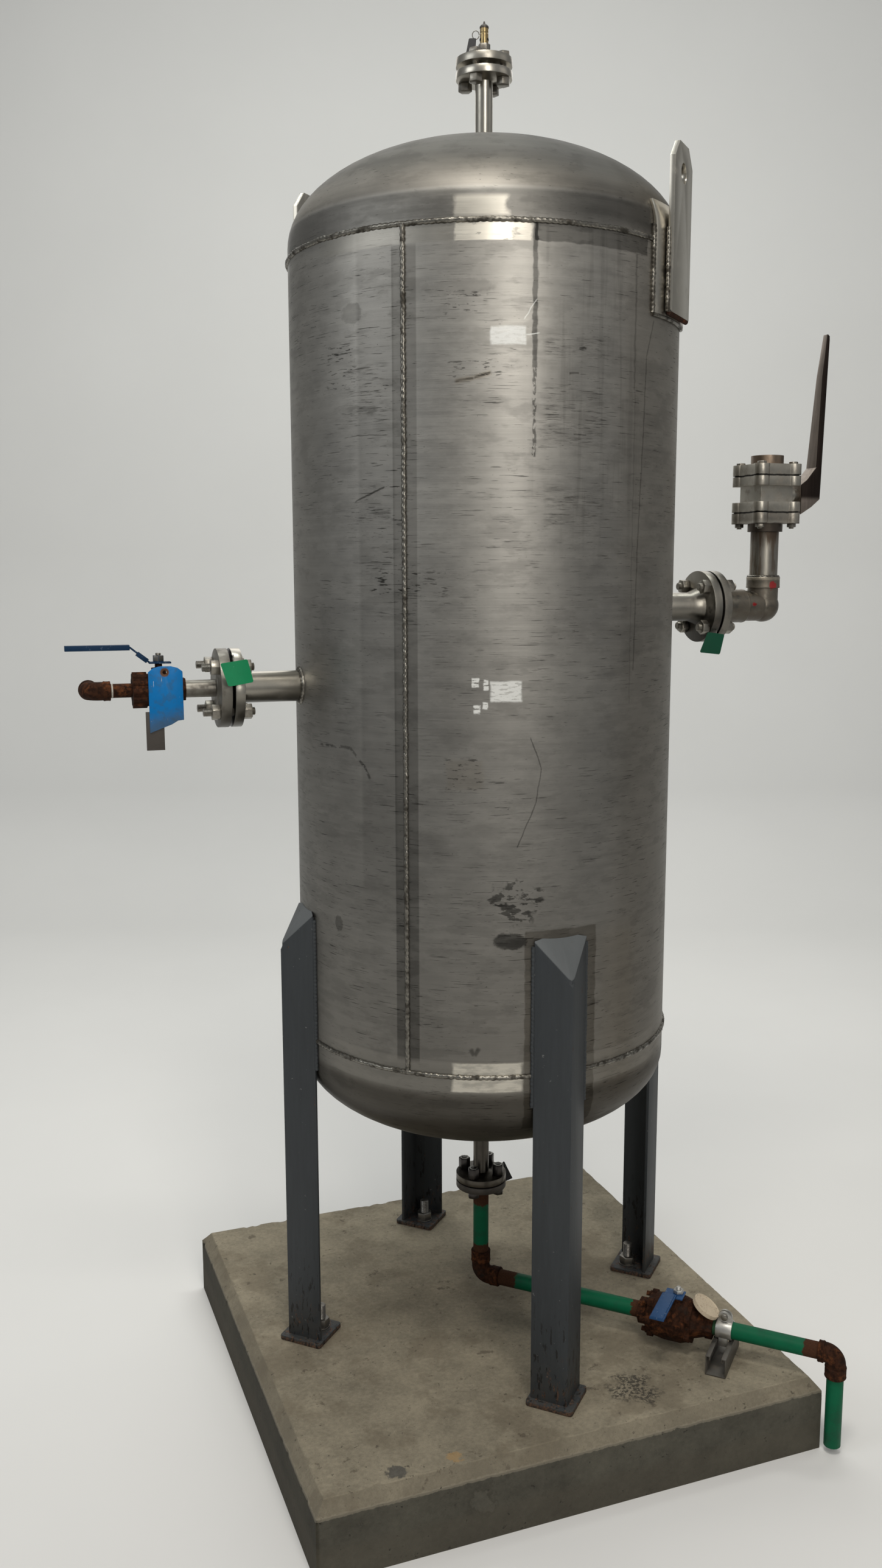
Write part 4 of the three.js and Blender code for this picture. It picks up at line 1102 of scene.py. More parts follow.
# Each finish: its slot, its maker and what the maker is told. A steel's or a sheet's base is a colour, a
# setting's name, or a share of the polished steel's colour.
DULL_DIRT = (0.060, 0.042, 0.028)
PALE_DIRT = (0.140, 0.115, 0.085)
# Painted shade under the side pipes: the pipe's height, the shade's reach and its depth; the side flanges'
# rows give their own, which reach further
LEFT_UNDER_SHADE = (LEFT_HEIGHT, 30, 0.80)
RIGHT_UNDER_SHADE = (RIGHT_HEIGHT, 30, 0.80)
FINISHES = {
    "shell": ("stainless", shell_finish),
    "weld": ("bright_steel", weld_finish),
    "leg_paint": ("blue_grey_paint", paint_finish),
    "rust": ("rusty_iron", rust_finish),
    "green": ("green_paint", green_finish),
    "concrete": ("concrete", concrete_finish),
    "blue_plate": ("blue_plate", plate_finish),
    "elbow": ("rusty_iron", elbow_finish),
    "nipple": ("stainless", nipple_finish),
    "cast": ("bright_steel", cast_finish),
    "lever": ("dull_steel", lever_finish),
    "floor": (None, floor_finish),
    "polished": ("stainless", steel_finish, "turned_stainless", 0.86, 0.30, 0.12, PALE_DIRT, 18),
    "flange": ("valve_brass", steel_finish, "flange_stainless", 0.50, 0.38, 0.45, DULL_DIRT, 10),
    "left_pipe": ("stainless", steel_finish, "left_pipe_stainless", 0.88, 0.30, 0.12, PALE_DIRT, 18,
                  LEFT_UNDER_SHADE, LEFT_JOINT),
    "left_flange": ("dull_steel", steel_finish, "left_flange_stainless", 0.42, 0.42, 0.45,
                    (0.050, 0.036, 0.024), 12, (LEFT_HEIGHT, 80, 0.60), LEFT_JOINT),
    "right_pipe": ("stainless", steel_finish, "right_pipe_stainless", 0.56, 0.36, 0.3,
                   (0.090, 0.066, 0.046), 18, RIGHT_UNDER_SHADE, RIGHT_JOINT),
    "right_flange": ("dull_steel", steel_finish, "right_flange_stainless", 0.50, 0.38, 0.45, DULL_DIRT,
                     12, (RIGHT_HEIGHT, 80, 0.50), RIGHT_JOINT),
    "cover": ("stainless", steel_finish, "cover_stainless", 0.72, 0.36, 0.25, (0.100, 0.080, 0.055), 16),
    "thin_steel": ("stainless", steel_finish, "bottom_pipe_steel", (0.105, 0.094, 0.078), 0.36, 0.3,
                   (0.050, 0.036, 0.026), 20),
    "iron": ("dull_steel", steel_finish, "dark_oiled_steel", "iron", 0.48, 0.5,
             (0.045, 0.030, 0.020), 12),
    "nut": ("dull_steel", steel_finish, "stud_steel", 0.50, 0.36, 0.45, (0.065, 0.045, 0.030), 6),
    "black_nut": ("dull_steel", steel_finish, "oiled_stud_steel", (0.060, 0.055, 0.052), 0.30, 0.3,
                  (0.030, 0.024, 0.018), 6),
    "anchor": ("dull_steel", steel_finish, "anchor_steel", (0.200, 0.190, 0.172), 0.42, 0.4,
               (0.070, 0.055, 0.040), 7),
    "zinc": ("bright_steel", steel_finish, "zinc_plated_steel", (0.46, 0.45, 0.42), 0.40, 0.3,
             (0.100, 0.085, 0.065), 12),
    "channel": ("dull_steel", steel_finish, "dull_channel_steel", (0.160, 0.150, 0.135), 0.55, 0.6,
                (0.100, 0.082, 0.062), 12),
    "brass": ("valve_brass", steel_finish, "tarnished_brass", "brass", 0.30, 0.3,
              (0.090, 0.060, 0.025), 5),
    "gasket": ("gasket_rubber", plain_finish, "gasket_rubber", (0.012, 0.011, 0.010), 0.7),
    "sleeve": ("blue_sleeve", plain_finish, "blue_sleeve", "sleeve", 0.5, 0.3, (0.10, 0.14, 0.20),
               20, 0.0, 0.12),
    "drain_sleeve": ("blue_sleeve", plain_finish, "blue_drain_sleeve", (0.014, 0.058, 0.155), 0.42, 0.3,
                     (0.16, 0.20, 0.26)),
    "brown_plate": ("dull_steel", plain_finish, "brown_valve_plate", (0.055, 0.047, 0.040), 0.45, 0.2,
                    (0.100, 0.085, 0.070)),
    "green_tag": ("green_paint", plain_finish, "green_tag", (0.001, 0.190, 0.070), 0.42, 0.0,
                  (0.3, 0.5, 0.4), 40),
    "dark_green_tag": ("green_paint", plain_finish, "dark_green_tag", (0.001, 0.050, 0.024), 0.42, 0.0,
                       (0.20, 0.30, 0.25), 40),
    "black_tag": ("gasket_rubber", plain_finish, "black_tag", (0.012, 0.012, 0.013), 0.4),
    "tan_tag": ("valve_brass", plain_finish, "tan_tag", (0.500, 0.415, 0.300), 0.5, 0.45,
                (0.26, 0.15, 0.11), 12),
    "cord": ("bright_steel", plain_finish, "tag_wire", (0.20, 0.19, 0.17), 0.4, 0.15, (0.3, 0.3, 0.3),
             20, 0.8),
    "white_tape": ("bright_steel", plain_finish, "white_thread_tape", (0.42, 0.39, 0.34), 0.6, 0.4,
                   (0.16, 0.12, 0.09)),
    "shadow": ("valve_brass", plain_finish, "vent_hole", (0.006, 0.005, 0.004), 0.9),
}
made_finishes = {}


def finish(name):
    """The material of this name, made the first time it is asked for"""
    if name not in made_finishes:
        maker, *told = FINISHES[name][1:]
        made_finishes[name] = maker(*told)
    return made_finishes[name]


# Pieces that several steps make

def dressed(node, name, finish_name, width, angle=40, body="tank"):
    """A CAD node's piece with its edges eased"""
    Piece().node(node, width, angle).done(name, finish_name, body=body, replaces=[node])


def flanged(side, finish_name, at=None):
    """A side's nozzle and gasket; gives back the flange's size, its rim and the joint's gap"""
    size, start, rim, gap, *hub = JOINTS[side]
    Piece(nozzle(size, start, rim, gap, *hub)).done(
        side + "_pipe_flange", finish_name, at, replaces=[side + "_nozzle"])
    Piece(gasket(size, rim, gap)).done(
        side + "_flange_gasket", "gasket", at, replaces=[side + "_gasket"])
    return size, rim, gap


def lever(side, look, finish_name, width, stem, stud, nut, nut_finish):
    """A side's lever with the nut that holds it on its stem, which ride on the handle"""
    body = side + "_handle"
    dressed(side + "_lever", side + "_lever_" + look, finish_name, width, body=body)
    Piece(threaded(*stud), hexagon(*nut)).done(
        side + "_lever_nut", nut_finish, stem @ ALONG_X, body, slot="bright_steel")


# Operators

# The backdrop, in metres: its front edge, and how it goes on from there
FLOOR_FRONT = ((-16, -14, 0), (16, -14, 0))
FLOOR_RISES = ((0, 17.6, 0), (0, 1.4, 0.45), (0, 0.5, 1.4), (0, 0.1, 9))
WORLD_COLOUR = (0.94, 0.97, 1.0, 1)
WORLD_STRENGTH = 0.26

# Each lamp's azimuth, distance, height, size, power, colour and target, in degrees, metres and watts.
# The last one lights the backdrop alone.
TANK_MIDDLE = (0, 0, 1.35)
LAMPS = {
    "key": (-96, 4.4, 3.3, (1.0, 3.0), 74, (1.0, 0.96, 0.90), TANK_MIDDLE),
    "side": (-172, 4.2, 3.6, (2.2, 2.0), 38, (0.95, 0.98, 1.0), TANK_MIDDLE),
    "fill": (-30, 4.6, 3.8, (2.4, 2.0), 7, (1.0, 0.94, 0.86), TANK_MIDDLE),
    "back": (70, 2.9, 3.6, (3.2, 1.6), 24, (1.0, 0.98, 0.95), TANK_MIDDLE),
    "overhead": (-115, 2.06, 5.2, (1.4, 0.8), 80, (1.0, 0.97, 0.91), TANK_MIDDLE),
    "backdrop": (69, 1.5, 5.4, (5.0, 0.6), 125, (0.97, 1.0, 0.97), (1.3, 3.4, 1.6)),
}


class TANK_OT_stage(bpy.types.Operator):
    """Adds the pale floor, the soft studio lights and the camera"""

    bl_idname = "tank.stage"
    bl_label = "Stage"

    def execute(self, context):
        self.floor()
        scene = bpy.context.scene
        world = bpy.data.worlds.new("studio")
        scene.world = world
        world.use_nodes = True
        air = world.node_tree.nodes["Background"]
        air.inputs["Color"].default_value = WORLD_COLOUR
        air.inputs["Strength"].default_value = WORLD_STRENGTH
        for name, lamp in LAMPS.items():
            self.lamp(name, *lamp)
        scene.view_settings.view_transform = "Standard"
        scene.camera = self.camera()
        return {"FINISHED"}

    def linked(self, name, data):
        made = bpy.data.objects.new(name, data)
        bpy.context.scene.collection.objects.link(made)
        return made

    def floor(self):
        """The pale floor, which curves up into a backdrop square to the camera"""
        bm = bmesh.new()
        line = [bm.edges.new([bm.verts.new(corner) for corner in FLOOR_FRONT])]
        for shift in FLOOR_RISES:
            pushed = bmesh.ops.extrude_edge_only(bm, edges=line)["geom"]
            line = [e for e in pushed if isinstance(e, bmesh.types.BMEdge)]
            bmesh.ops.translate(bm, vec=shift, verts=corners_of(pushed))
        bmesh.ops.recalc_face_normals(bm, faces=bm.faces)
        for face in bm.faces:
            face.smooth = True
        mesh = bpy.data.meshes.new("studio_floor")
        bm.to_mesh(mesh)
        bm.free()
        mesh.materials.append(finish("floor"))
        mesh.transform(spun(LOOK_AZIMUTH - 90))
        self.linked("studio_floor", mesh)

    def lamp(self, name, azimuth, distance, height, size, power, colour, target):
        """A soft rectangular light aimed at a target"""
        light = bpy.data.lights.new(name, "AREA")
        light.shape = "RECTANGLE"
        light.size, light.size_y = size
        light.energy = power
        light.color = colour
        lamp = self.linked(name, light)
        lamp.location = polar(distance, azimuth, height)
        aim = Vector(target) - lamp.location
        lamp.rotation_euler = aim.to_track_quat("-Z", "Y").to_euler()

    def camera(self):
        camera = bpy.data.cameras.new("camera")
        camera.sensor_fit = "VERTICAL"
        camera.sensor_height = SENSOR
        camera.lens = LENS
        camera.clip_end = 100
        pitch, roll = math.radians(LOOK_PITCH), math.radians(LOOK_ROLL)
        forward = polar(math.cos(pitch), LOOK_AZIMUTH, -math.sin(pitch))
        right = polar(1, LOOK_AZIMUTH - 90)
        tilted = right * math.cos(roll) + right.cross(forward) * math.sin(roll)
        eye = self.linked("camera", camera)
        eye.matrix_world = frame_of(tilted, tilted.cross(forward), -forward, EYE)
        return eye


class TANK_OT_plinth(bpy.types.Operator):
    """Casts the concrete plinth with its chamfered and chipped edges"""

    bl_idname = "tank.plinth"
    bl_label = "Plinth"

    def execute(self, context):
        run, drop = PLINTH_CHAMFER
        half = PLINTH_SIDE / 2
        low = PLINTH_HEIGHT - drop
        bm = block((-half, half), (-half, half), (0, low))
        top = max(bm.faces, key=lambda face: face.calc_center_median().z)
        pushed = bmesh.ops.extrude_face_region(bm, geom=[top])["geom"]
        shrink = (half - run) / half
        for v in corners_of(pushed):
            v.co = Vector((v.co.x * shrink, v.co.y * shrink, PLINTH_HEIGHT))
        short_edges = [e for e in bm.edges if e.calc_length() <= half]
        bmesh.ops.subdivide_edges(bm, edges=short_edges, cuts=SHORT_CUTS, use_grid_fill=True)
        long_edges = [e for e in bm.edges if e.calc_length() > half]
        bmesh.ops.subdivide_edges(bm, edges=long_edges, cuts=LONG_CUTS, use_grid_fill=True)
        settled(bm)
        for v in bm.verts:
            v.co += self.wear(v.co, half, low, run)
        Piece(bm).done("plinth_block", "concrete", replaces=["plinth"], smooth=40)
        return {"FINISHED"}

    def wear(self, spot, half, low, run):
        """How far a point of the block is moved by chips and by the uneven forms"""
        side = max(abs(spot.x), abs(spot.y))
        uneven = noise.noise(spot / 90) * 0.9 + noise.noise(spot / 24) * 0.5
        if spot.z < 0.5:
            return Vector()
        if spot.z > PLINTH_HEIGHT - 0.5 and side < half - run - 1:
            return UP * (uneven * 0.25 - 0.3)

        def close(value, edge, reach):
            return max(0, 1 - abs(value - edge) / reach)

        outward = Vector([math.copysign(abs(c) > side - 3, c) for c in spot.xy] + [0])
        ridge = close(side, half, 7) * close(spot.z, low, 8)
        lip = close(side, half - run, 7) * close(spot.z, PLINTH_HEIGHT, 7)
        rough = noise.noise(spot / 26 + Vector((5, 5, 5))) + 0.35 * noise.noise(spot / 9)
        depth = (ridge + lip) * max(0, rough - 0.16) * 2.2 * sizes().chips
        return -outward * (depth + abs(uneven) * 0.7) - UP * depth * 0.7


class TANK_OT_body(bpy.types.Operator):
    """Turns the shell and its two dished heads in one closed skin"""

    bl_idname = "tank.body"
    bl_label = "Shell and heads"

    def execute(self, context):
        rings = [(TANK_RADIUS, height) for height in (BOTTOM_SEAM, *SHELL_RINGS, TOP_SEAM)]
        profile = (self.head(BOTTOM_SEAM, BOTTOM_DISH, -1) + rings
                   + self.head(TOP_SEAM, TOP_DISH, 1)[::-1])
        Piece(turned(profile, sizes().sides)).done(
            "tank_shell", "shell", replaces=["shell", "top_head", "bottom_head"], smooth=30)
        return {"FINISHED"}

    def head(self, seam, dish, way):
        """Points of a dished head from the axis out to its straight flange"""
        turns = [math.pi / 2 * i / DISH_STEPS for i in range(DISH_STEPS + 1)]
        return [(TANK_RADIUS * math.sin(turn),
                 seam + way * (dish["straight"] + dish["depth"] * math.cos(turn))) for turn in turns]


class TANK_OT_welds(bpy.types.Operator):
    """Lays the shell's weld beads"""

    bl_idname = "tank.welds"
    bl_label = "Weld beads"

    def execute(self, context):
        size, pitch = sizes().bead, sizes().ripple
        beads, toes, rusty = Piece(), Piece(), Piece()
        for seed, height in ((1, TOP_SEAM), (2, BOTTOM_SEAM)):
            beads.add(ring_bead(TANK_RADIUS, size, pitch, seed), moved(0, 0, height))
        seam = FRONT @ spun(math.degrees(SEAM_ARC / TANK_RADIUS))
        beads.add(bead(TOP_SEAM - BOTTOM_SEAM, size, pitch, 3),
                  seam @ moved(TANK_RADIUS, 0, BOTTOM_SEAM))
        for seed, height in ((4, TOP_PIPE_WELD), (5, BOTTOM_PIPE_WELD)):
            beads.add(ring_bead(INCH_1["pipe"] + 1, 4, 6, seed), moved(0, 0, height))
        reach = TANK_RADIUS - 1
        for at in (LEFT, RIGHT):
            beads.add(ring_bead(INCH_2["pipe"] + 2, 5, 8, reach), at @ moved(0, 0, reach))
        low, high = TOE_WELD
        for azimuth in LEG_AZIMUTHS.values():
            for side in (-1, 1):
                toes.add(bead(high - low, 3.6, 8, azimuth + side),
                         spun(azimuth) @ moved(LEG_TOE[0], side * LEG_TOE[1], low))
        for azimuth in LUG_AZIMUTHS.values():
            self.lug(beads, rusty, azimuth)
        toes.done("leg_toe_welds", "leg_paint", smooth=60)
        beads.done("weld_beads", "weld", smooth=60)
        rusty.done("lug_foot_welds", "rust", smooth=60)
        return {"FINISHED"}

    def lug(self, beads, rusty, azimuth):
        """The beads round a lug's pad and along its sides, and the rusty one at its foot"""
        low, high = PAD_HEIGHTS
        skin = TANK_RADIUS + 2
        for side in (-PAD_EDGE, PAD_EDGE):
            beads.add(bead(high - low, 4.2, 8, side), spun(azimuth + side) @ moved(skin, 0, low))
        arc = [polar(skin, azimuth + turn, low - 2) for turn in range(-14, 15, 2)]
        beads.add(swept(arc, 4.2, 10))
        at = spun(azimuth)
        for side in (-1, 1):
            beads.add(bead(high - LUG_FOOT - 2, 4, 8, side),
                      at @ moved(LUG_BACK, side * LUG_EDGE, LUG_FOOT + 2))
        foot = [at @ Vector((LUG_BACK + 3, y, LUG_FOOT)) for y in range(-57, 58, 6)]
        rusty.add(swept(foot, 5, 10))


class TANK_OT_legs(bpy.types.Operator):
    """Dresses the angle legs, their foot plates and their anchor studs"""

    bl_idname = "tank.legs"
    bl_label = "Legs and anchors"

    def execute(self, context):
        seat = FOOT_TOP + 3
        for side, azimuth in LEG_AZIMUTHS.items():
            dressed("leg_" + side, "angle_leg_" + side, "leg_paint", 1.1)
            dressed("foot_" + side, "foot_plate_" + side, "leg_paint", 1.2)
            anchor = Piece(eased(tube(10.3, 18.5, FOOT_TOP, seat, 40), 0.5))
            anchor.add(hexagon(32, seat, seat + 17, 1.6), spun(13))
            anchor.add(threaded(10.4, FOOT_TOP - 4, FOOT_TOP + 50, 2.5))
            anchor.done("anchor_stud_" + side, "anchor", spun(azimuth) @ moved(ANCHOR_REACH))
        return {"FINISHED"}


class TANK_OT_lugs(bpy.types.Operator):
    """Dresses the lifting lugs"""

    bl_idname = "tank.lugs"
    bl_label = "Lifting lugs"

    def execute(self, context):
        for name in LUG_AZIMUTHS:
            dressed("lug_" + name, "lifting_lug_" + name, "polished", 0.9, 50)
        return {"FINISHED"}


class TANK_OT_top(bpy.types.Operator):
    """Builds the top nozzle, its bolted cover and the relief valve"""

    bl_idname = "tank.top"
    bl_label = "Top fittings"

    def execute(self, context):
        size, rim, gap = flanged("top", "polished")
        far, under = rim + gap + size["rim"], rim - size["rim"]
        Piece(companion(size, rim, gap, size["rim"], hub=15, hub_end=far + 1.5)).done(
            "top_cover", "cover", replaces=["top_cover_flange"])
        Piece().studs(size, LUG_QUARTERS, flats=23.5, low=under - 13, high=far + 7,
                      nuts=((far, far + 8.5), (under - 14.5, under))).done("top_studs", "nut")
        self.relief_valve(moved(0, 0, far + 1.8))
        return {"FINISHED"}

    def relief_valve(self, at):
        """The relief valve with its vents, pin, ring and tag, from its seat up"""
        Piece(eased(turned([
            (0, 25), (8.2, 26), (8.2, 44), (7.7, 45), (7.7, 46), (8.2, 47), (8.2, 57), (6, 60),
            (0, 60)], 40), 0.3)).done("relief_valve_body", "brass", at, replaces=["relief_valve"])
        Piece(hexagon(22, 0, 10, 1), rod(9.4, 9, 14, 40), hexagon(21, 14, 26, 1)).done(
            "relief_valve_base", "flange", at)
        Piece(eased(turned([
            (0, 54), (8.7, 54), (8.7, 57), (6.6, 60), (2.4, 62.5), (1.2, 67), (0, 67)], 40),
            0.3)).done("relief_valve_pin", "iron", at, slot="valve_brass")
        vents = Piece()
        for turn in (-62, 62):
            for low, high in ((4, 8.4), (-8.4, -4)):
                vents.add(rod(2.7, low, high, 20), spun(turn) @ moved(0, 0, 34) @ ALONG_X)
        vents.done("relief_valve_vents", "shadow", at @ FRONT)
        turns = [math.tau * i / 24 for i in range(24)]
        ring = [FRONT @ Vector((6, 6.5 * math.cos(turn) - 16, 7.5 * math.sin(turn) + 41))
                for turn in turns]
        Piece(swept(ring, 0.9, 8, True)).done("relief_valve_ring", "cord", at)
        corners = ((6, -29, 35), (6, -15, 35), (9, -17, 0.8), (9, -36, 0.8))
        Piece(sheet(corners, 1.2, 0, 1.5)).done("relief_valve_tag", "black_tag", at @ FRONT)


class TANK_OT_bottom(bpy.types.Operator):
    """Builds the bottom nozzle and its bolted flange"""

    bl_idname = "tank.bottom"
    bl_label = "Bottom fittings"

    def execute(self, context):
        size, rim, gap = flanged("bottom", "thin_steel", BELOW)
        near, far = rim - size["rim"], rim + gap + size["rim"]
        Piece(companion(size, rim, gap, size["rim"], size["hub"], hub_end=far + 10)).done(
            "drain_flange_iron", "iron", BELOW, replaces=["drain_flange"])
        low, high = -far, -near
        Piece().studs(size, LUG_QUARTERS, flats=22.2, low=low - 13.5, high=high + 24.6,
                      nuts=((high, high + 24), (low - 13, low))).done("bottom_studs", "black_nut")
        ends = Piece()
        for angle in LUG_QUARTERS:
            ends.add(tube(6.4, 9.3, high + 23.6, high + 24.5, 32), spun(angle) @ moved(size["circle"]))
        ends.done("bottom_stud_ends", "zinc", slot="dull_steel")
        return {"FINISHED"}


class TANK_OT_drain_line(bpy.types.Operator):
    """Builds the drain line's pipes, elbows, strut and pipe clamp"""

    bl_idname = "tank.drain_line"
    bl_label = "Drain line"

    def execute(self, context):
        pipe = INCH_1["pipe"]
        outlet = DRAIN @ moved(0, 0, SPOUT_REACH)
        for name, low, high, at in (("downpipe", 55.3, 198, DRAIN @ ALONG_X),
                                    ("run", 45.3, 361.7, DRAIN), ("outlet", 518.3, 727.7, DRAIN)):
            Piece(rod(pipe, low, high)).done("green_" + name, "green", at, replaces=["drain_" + name])
        Piece(eased(tube(INCH_1["bore"], pipe, 47.3, 195.5), 0.6)).done(
            "green_spout", "green", outlet @ ALONG_X.inverted(), replaces=["spout"])
        Piece(elbow(19.5, 21.4, bend=21, reach_z=45, reach_x=55, collar_z=20, collar_x=26)).done(
            "iron_elbow_low", "rust", DRAIN, replaces=["drain_elbow"])
        Piece(elbow(19.5, 21.4, bend=21, reach_z=34, reach_x=47, collar_z=12, collar_x=24)).done(
            "iron_elbow_out", "rust", outlet @ TURNED_BACK, replaces=["outlet_elbow"])
        dressed("strut", "channel_strut", "channel", 0.6)
        dressed("pipe_clamp", "strap_clamp", "zinc", 0.5)
        Piece(hexagon(13, -12.4, -7), hexagon(13, 7, 12.4)).done(
            "clamp_bolt", "nut", DRAIN @ moved(30, 0, CLAMP_REACH) @ ALONG_Y, slot="bright_steel")
        return {"FINISHED"}


class TANK_OT_drain_valve(bpy.types.Operator):
    """Builds the rusty drain valve and its blue lever"""

    bl_idname = "tank.drain_valve"
    bl_label = "Drain valve"

    def execute(self, context):
        valve = Piece().node("drain_valve", 1.2)
        for angle in range(30, 390, 60):
            at = DRAIN @ moved(*polar(35, angle))
            valve.add(hexagon(13, 379, 385), at).add(rod(5, 372, 380, 20), at)
        valve.done("drain_valve_body", "rust", replaces=["drain_valve"])
        lever("drain", "blue", "drain_sleeve", 0.8, DRAIN @ moved(0, 0, DRAIN_STEM),
              stud=(5.5, 62, 70), nut=(19.6, 56.5, 64.2), nut_finish="zinc")
        return {"FINISHED"}


class TANK_OT_left(bpy.types.Operator):
    """Builds the left branch with its valve, lever, nipple and open elbow"""

    bl_idname = "tank.left"
    bl_label = "Left branch"

    def execute(self, context):
        size, rim, gap = flanged("left", "left_pipe", LEFT)
        Piece(companion(size, rim, gap, thickness=21, hub=31, hub_end=rim + gap + 23)).done(
            "left_flange_iron", "left_flange", LEFT, replaces=["left_reducing_flange"])
        Piece().studs(size, QUARTERS, flats=27, low=478, high=577, nuts=((484, 500), (545, 561))).done(
            "left_studs", "nut", LEFT)
        Piece(rod(INCH_1["pipe"], 547.3, 604.2)).done(
            "left_stub_pipe", "left_flange", LEFT, replaces=["left_stub"], slot="stainless")
        dressed("left_valve", "left_valve_body", "rust", 1.1, 35)
        Piece(rod(13.35, 703.9, 743.7)).done(
            "left_nipple_pipe", "rust", LEFT, replaces=["left_nipple"])
        Piece(tube(13.2, 13.7, 739.6, 742.6)).done("thread_tape", "white_tape", LEFT)
        Piece(elbow(17.5, 18.9, bend=19, reach_z=38.5, reach_x=38.5, collar_z=14, collar_x=14)).done(
            "left_elbow_open", "rust", LEFT @ moved(0, 0, LEFT_ELBOW) @ spun(-90) @ TURNED_BACK,
            replaces=["left_elbow"])
        lever("left", "blue", "sleeve", 0.8, LEFT @ moved(0, 0, LEFT_STEM),
              stud=(5.5, 60, 70), nut=(19.4, 53.5, 65.4), nut_finish="anchor")
        dressed("tag_plate_blue", "valve_plate_blue", "blue_plate", 0.35, 60)
        dressed("tag_plate_brown", "valve_plate_brown", "brown_plate", 0.3, 60)
        return {"FINISHED"}


class TANK_OT_right(bpy.types.Operator):
    """Builds the right branch with its elbow, riser nipple, valve and lever"""

    bl_idname = "tank.right"
    bl_label = "Right branch"

    def execute(self, context):
        size, rim, gap = flanged("right", "right_pipe", RIGHT)
        pipe, hub_end = size["pipe"], rim + gap + 22
        Piece(companion(size, rim, gap, 19, size["hub"], hub_end),
              rod(pipe, hub_end - 1, 562)).done(
            "right_flange_iron", "right_flange", RIGHT, replaces=["right_companion_flange"])
        Piece().studs(size, QUARTERS, flats=27, low=478, high=568,
                      nuts=((485.5, 501.5), (543.5, 559.5))).done("right_studs", "nut", RIGHT)
        Piece(elbow(33, 36.5, bend=0, reach_z=62, reach_x=105.7, collar_z=24, collar_x=54,
                    ball=35.5)).done(
            "right_elbow_fitting", "elbow", RISER @ moved(0, 0, RIGHT_HEIGHT) @ spun(180),
            replaces=["right_elbow"])
        Piece(rod(pipe, 1726.3, 1823.7)).done(
            "right_riser_nipple", "nipple", RISER, replaces=["right_nipple"])
        welds = Piece()
        for width, seed, at in ((3.4, 11, RISER @ moved(0, 0, RIGHT_HEIGHT + 63)),
                                (3.6, 12, RIGHT @ moved(0, 0, RIGHT_RISER - 107))):
            welds.add(ring_bead(pipe + 1.5, width, 7, seed), at)
        welds.done("right_elbow_welds", "weld", smooth=60)
        dressed("right_valve", "right_valve_body", "cast", 1.3, 35)
        stem = RISER @ moved(0, 0, RIGHT_STEM_HEIGHT)
        # Dark slabs in the gaps between the valve's plates, standing in for the shade there
        gap_shades = Piece()
        for gap_height in (-RIGHT_PLATE_GAP, RIGHT_PLATE_GAP):
            gap_shades.add(block((-49, 49), (-49, 49), (gap_height - 0.95, gap_height + 0.95)))
        gap_shades.done("right_valve_seals", "gasket", stem)
        bolts = Piece()
        for angle in QUARTERS:
            spot = moved(*polar(56.5, angle))
            bolts.add(hexagon(18, 62.6, 68), spot @ spun(angle))
            bolts.add(hexagon(18, -71, -62.6), spot @ spun(angle + 20))
            bolts.add(threaded(5.6, -74, -70), spot)
        bolts.done("right_valve_bolts", "nut", stem, slot="bright_steel")
        lever("right", "channel", "lever", 0.7, stem,
              stud=(8, 90, 101), nut=(24.6, 79.8, 95.2), nut_finish="nut")
        return {"FINISHED"}


# Each square tag's finish, its corners, its thickness, bow and clip, and its wire's points, in millimetres
TAGS = {
    "green_tag_left": (
        "green_tag", ((-558, -86, 1575), (-507, -86, 1582), (-496, -86, 1539), (-544, -86, 1532)),
        (0.9, 3, 2.5), ((-534, -89, 1573), (-532, -86, 1583), (-530, -70, 1590), (-528, -52, 1578))),
    "green_tag_right": (
        "dark_green_tag", ((491.5, -62, 1612), (533.5, -62, 1606), (523, -62, 1563.5), (474, -62, 1569)),
        (0.9, 2, 2.5), ((513, -63, 1603), (514, -62, 1612), (515, -54, 1620), (516, -43, 1622))),
    "black_tag_bottom": (
        "black_tag", ((46, 25, 429), (65, 25, 450), (86, 25, 406), (65.5, 25, 401)), (1, 0, 1.5), ()),
}
WIRE_RADIUS = 0.8
ROUND_TAG = ((0, 1), (26, 1), (27.5, 2.2), (29.5, 2.2), (30, 1.4), (30, -6.4), (29.2, -7.2), (0, -7.2))
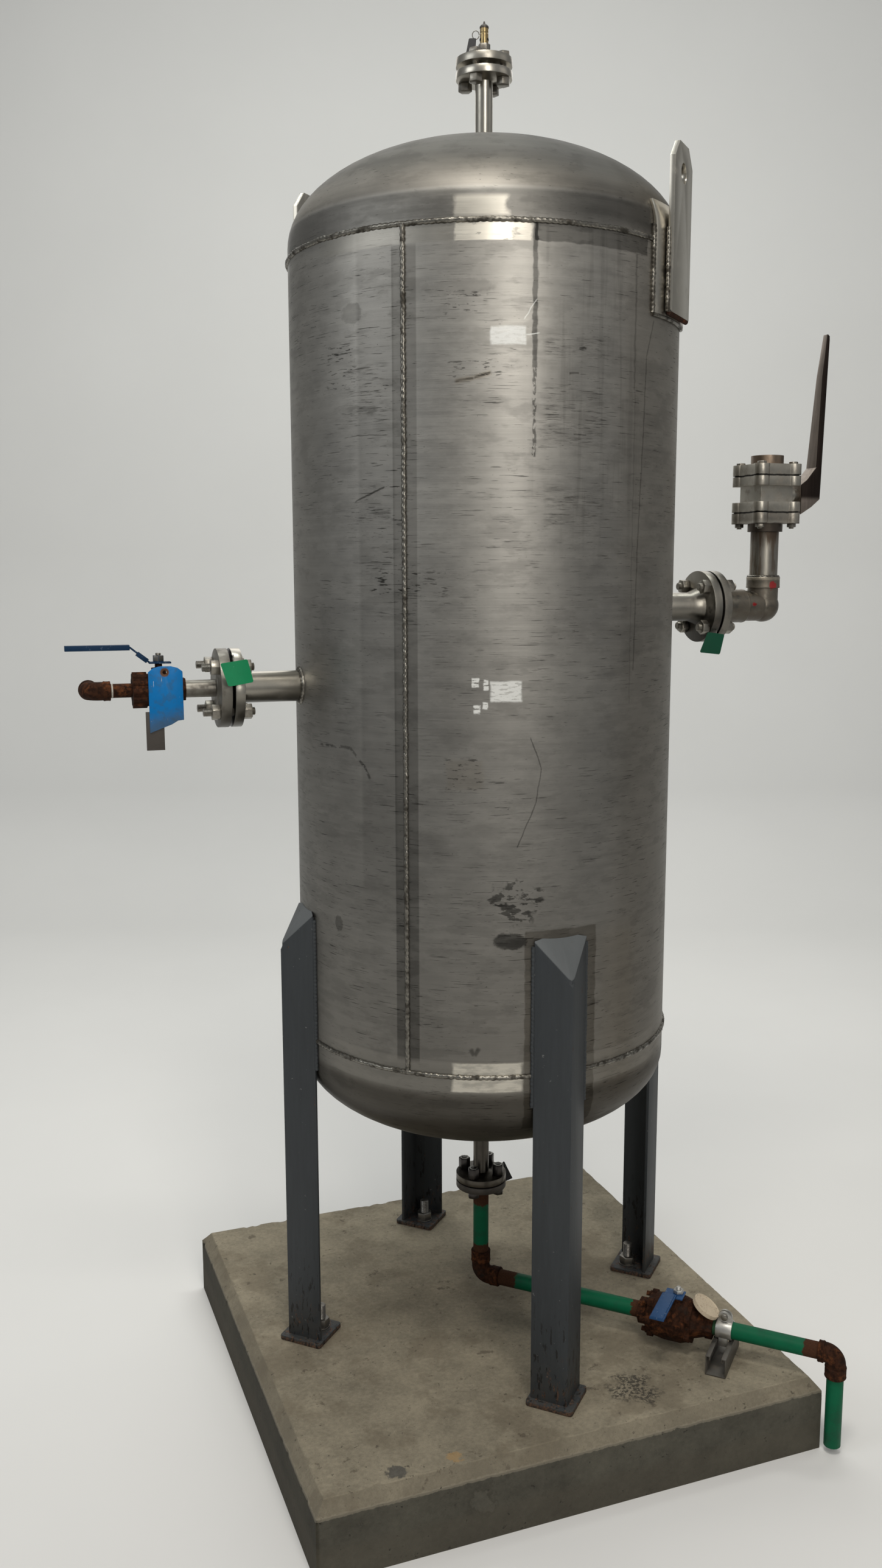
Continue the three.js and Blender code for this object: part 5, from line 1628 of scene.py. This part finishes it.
ROUND_TAG_PLACE = (354.7, -356.6, 252)
ROUND_TAG_LEAN = (0.437, -0.331, 0.837)


class TANK_OT_tags(bpy.types.Operator):
    """Hangs the bare tags and their wires"""

    bl_idname = "tank.tags"
    bl_label = "Tags"

    def execute(self, context):
        for name, (finish_name, corners, shape, wire) in TAGS.items():
            Piece(sheet(corners, *shape)).done(name, finish_name)
            if wire:
                Piece(swept(wire, WIRE_RADIUS, 8)).done(name + "_wire", "cord")
        lean = Vector(ROUND_TAG_LEAN).to_track_quat("Z", "Y").to_matrix().to_4x4()
        Piece(turned(ROUND_TAG, 56)).done("tan_tag_round", "tan_tag", moved(*ROUND_TAG_PLACE) @ lean)
        return {"FINISHED"}


class TANK_PT_panel(bpy.types.Panel):
    """Lists the steps of the tank and its settings"""

    bl_idname = "TANK_PT_panel"
    bl_label = "Storage tank"
    bl_space_type = "VIEW_3D"
    bl_region_type = "UI"
    bl_category = "Tank"

    def draw(self, context):
        for step in STEPS:
            self.layout.operator(step.bl_idname)
        for group in (context.scene.tank_sizes, context.scene.tank_colours):
            for name in group.__annotations__:
                self.layout.prop(group, name)


STEPS = (TANK_OT_stage, TANK_OT_plinth, TANK_OT_body, TANK_OT_welds, TANK_OT_legs, TANK_OT_lugs,
         TANK_OT_top, TANK_OT_bottom, TANK_OT_drain_line, TANK_OT_drain_valve, TANK_OT_left,
         TANK_OT_right, TANK_OT_tags)
CLASSES = (TankSizes, TankColours, *STEPS, TANK_PT_panel)


def register():
    for cls in CLASSES:
        bpy.utils.register_class(cls)
    bpy.types.Scene.tank_sizes = bpy.props.PointerProperty(type=TankSizes)
    bpy.types.Scene.tank_colours = bpy.props.PointerProperty(type=TankColours)


def unregister():
    del bpy.types.Scene.tank_colours
    del bpy.types.Scene.tank_sizes
    for cls in reversed(CLASSES):
        bpy.utils.unregister_class(cls)


def main():
    register()
    for step in STEPS:
        group, name = step.bl_idname.split(".")
        getattr(getattr(bpy.ops, group), name)()


if __name__ == "__main__":
    main()
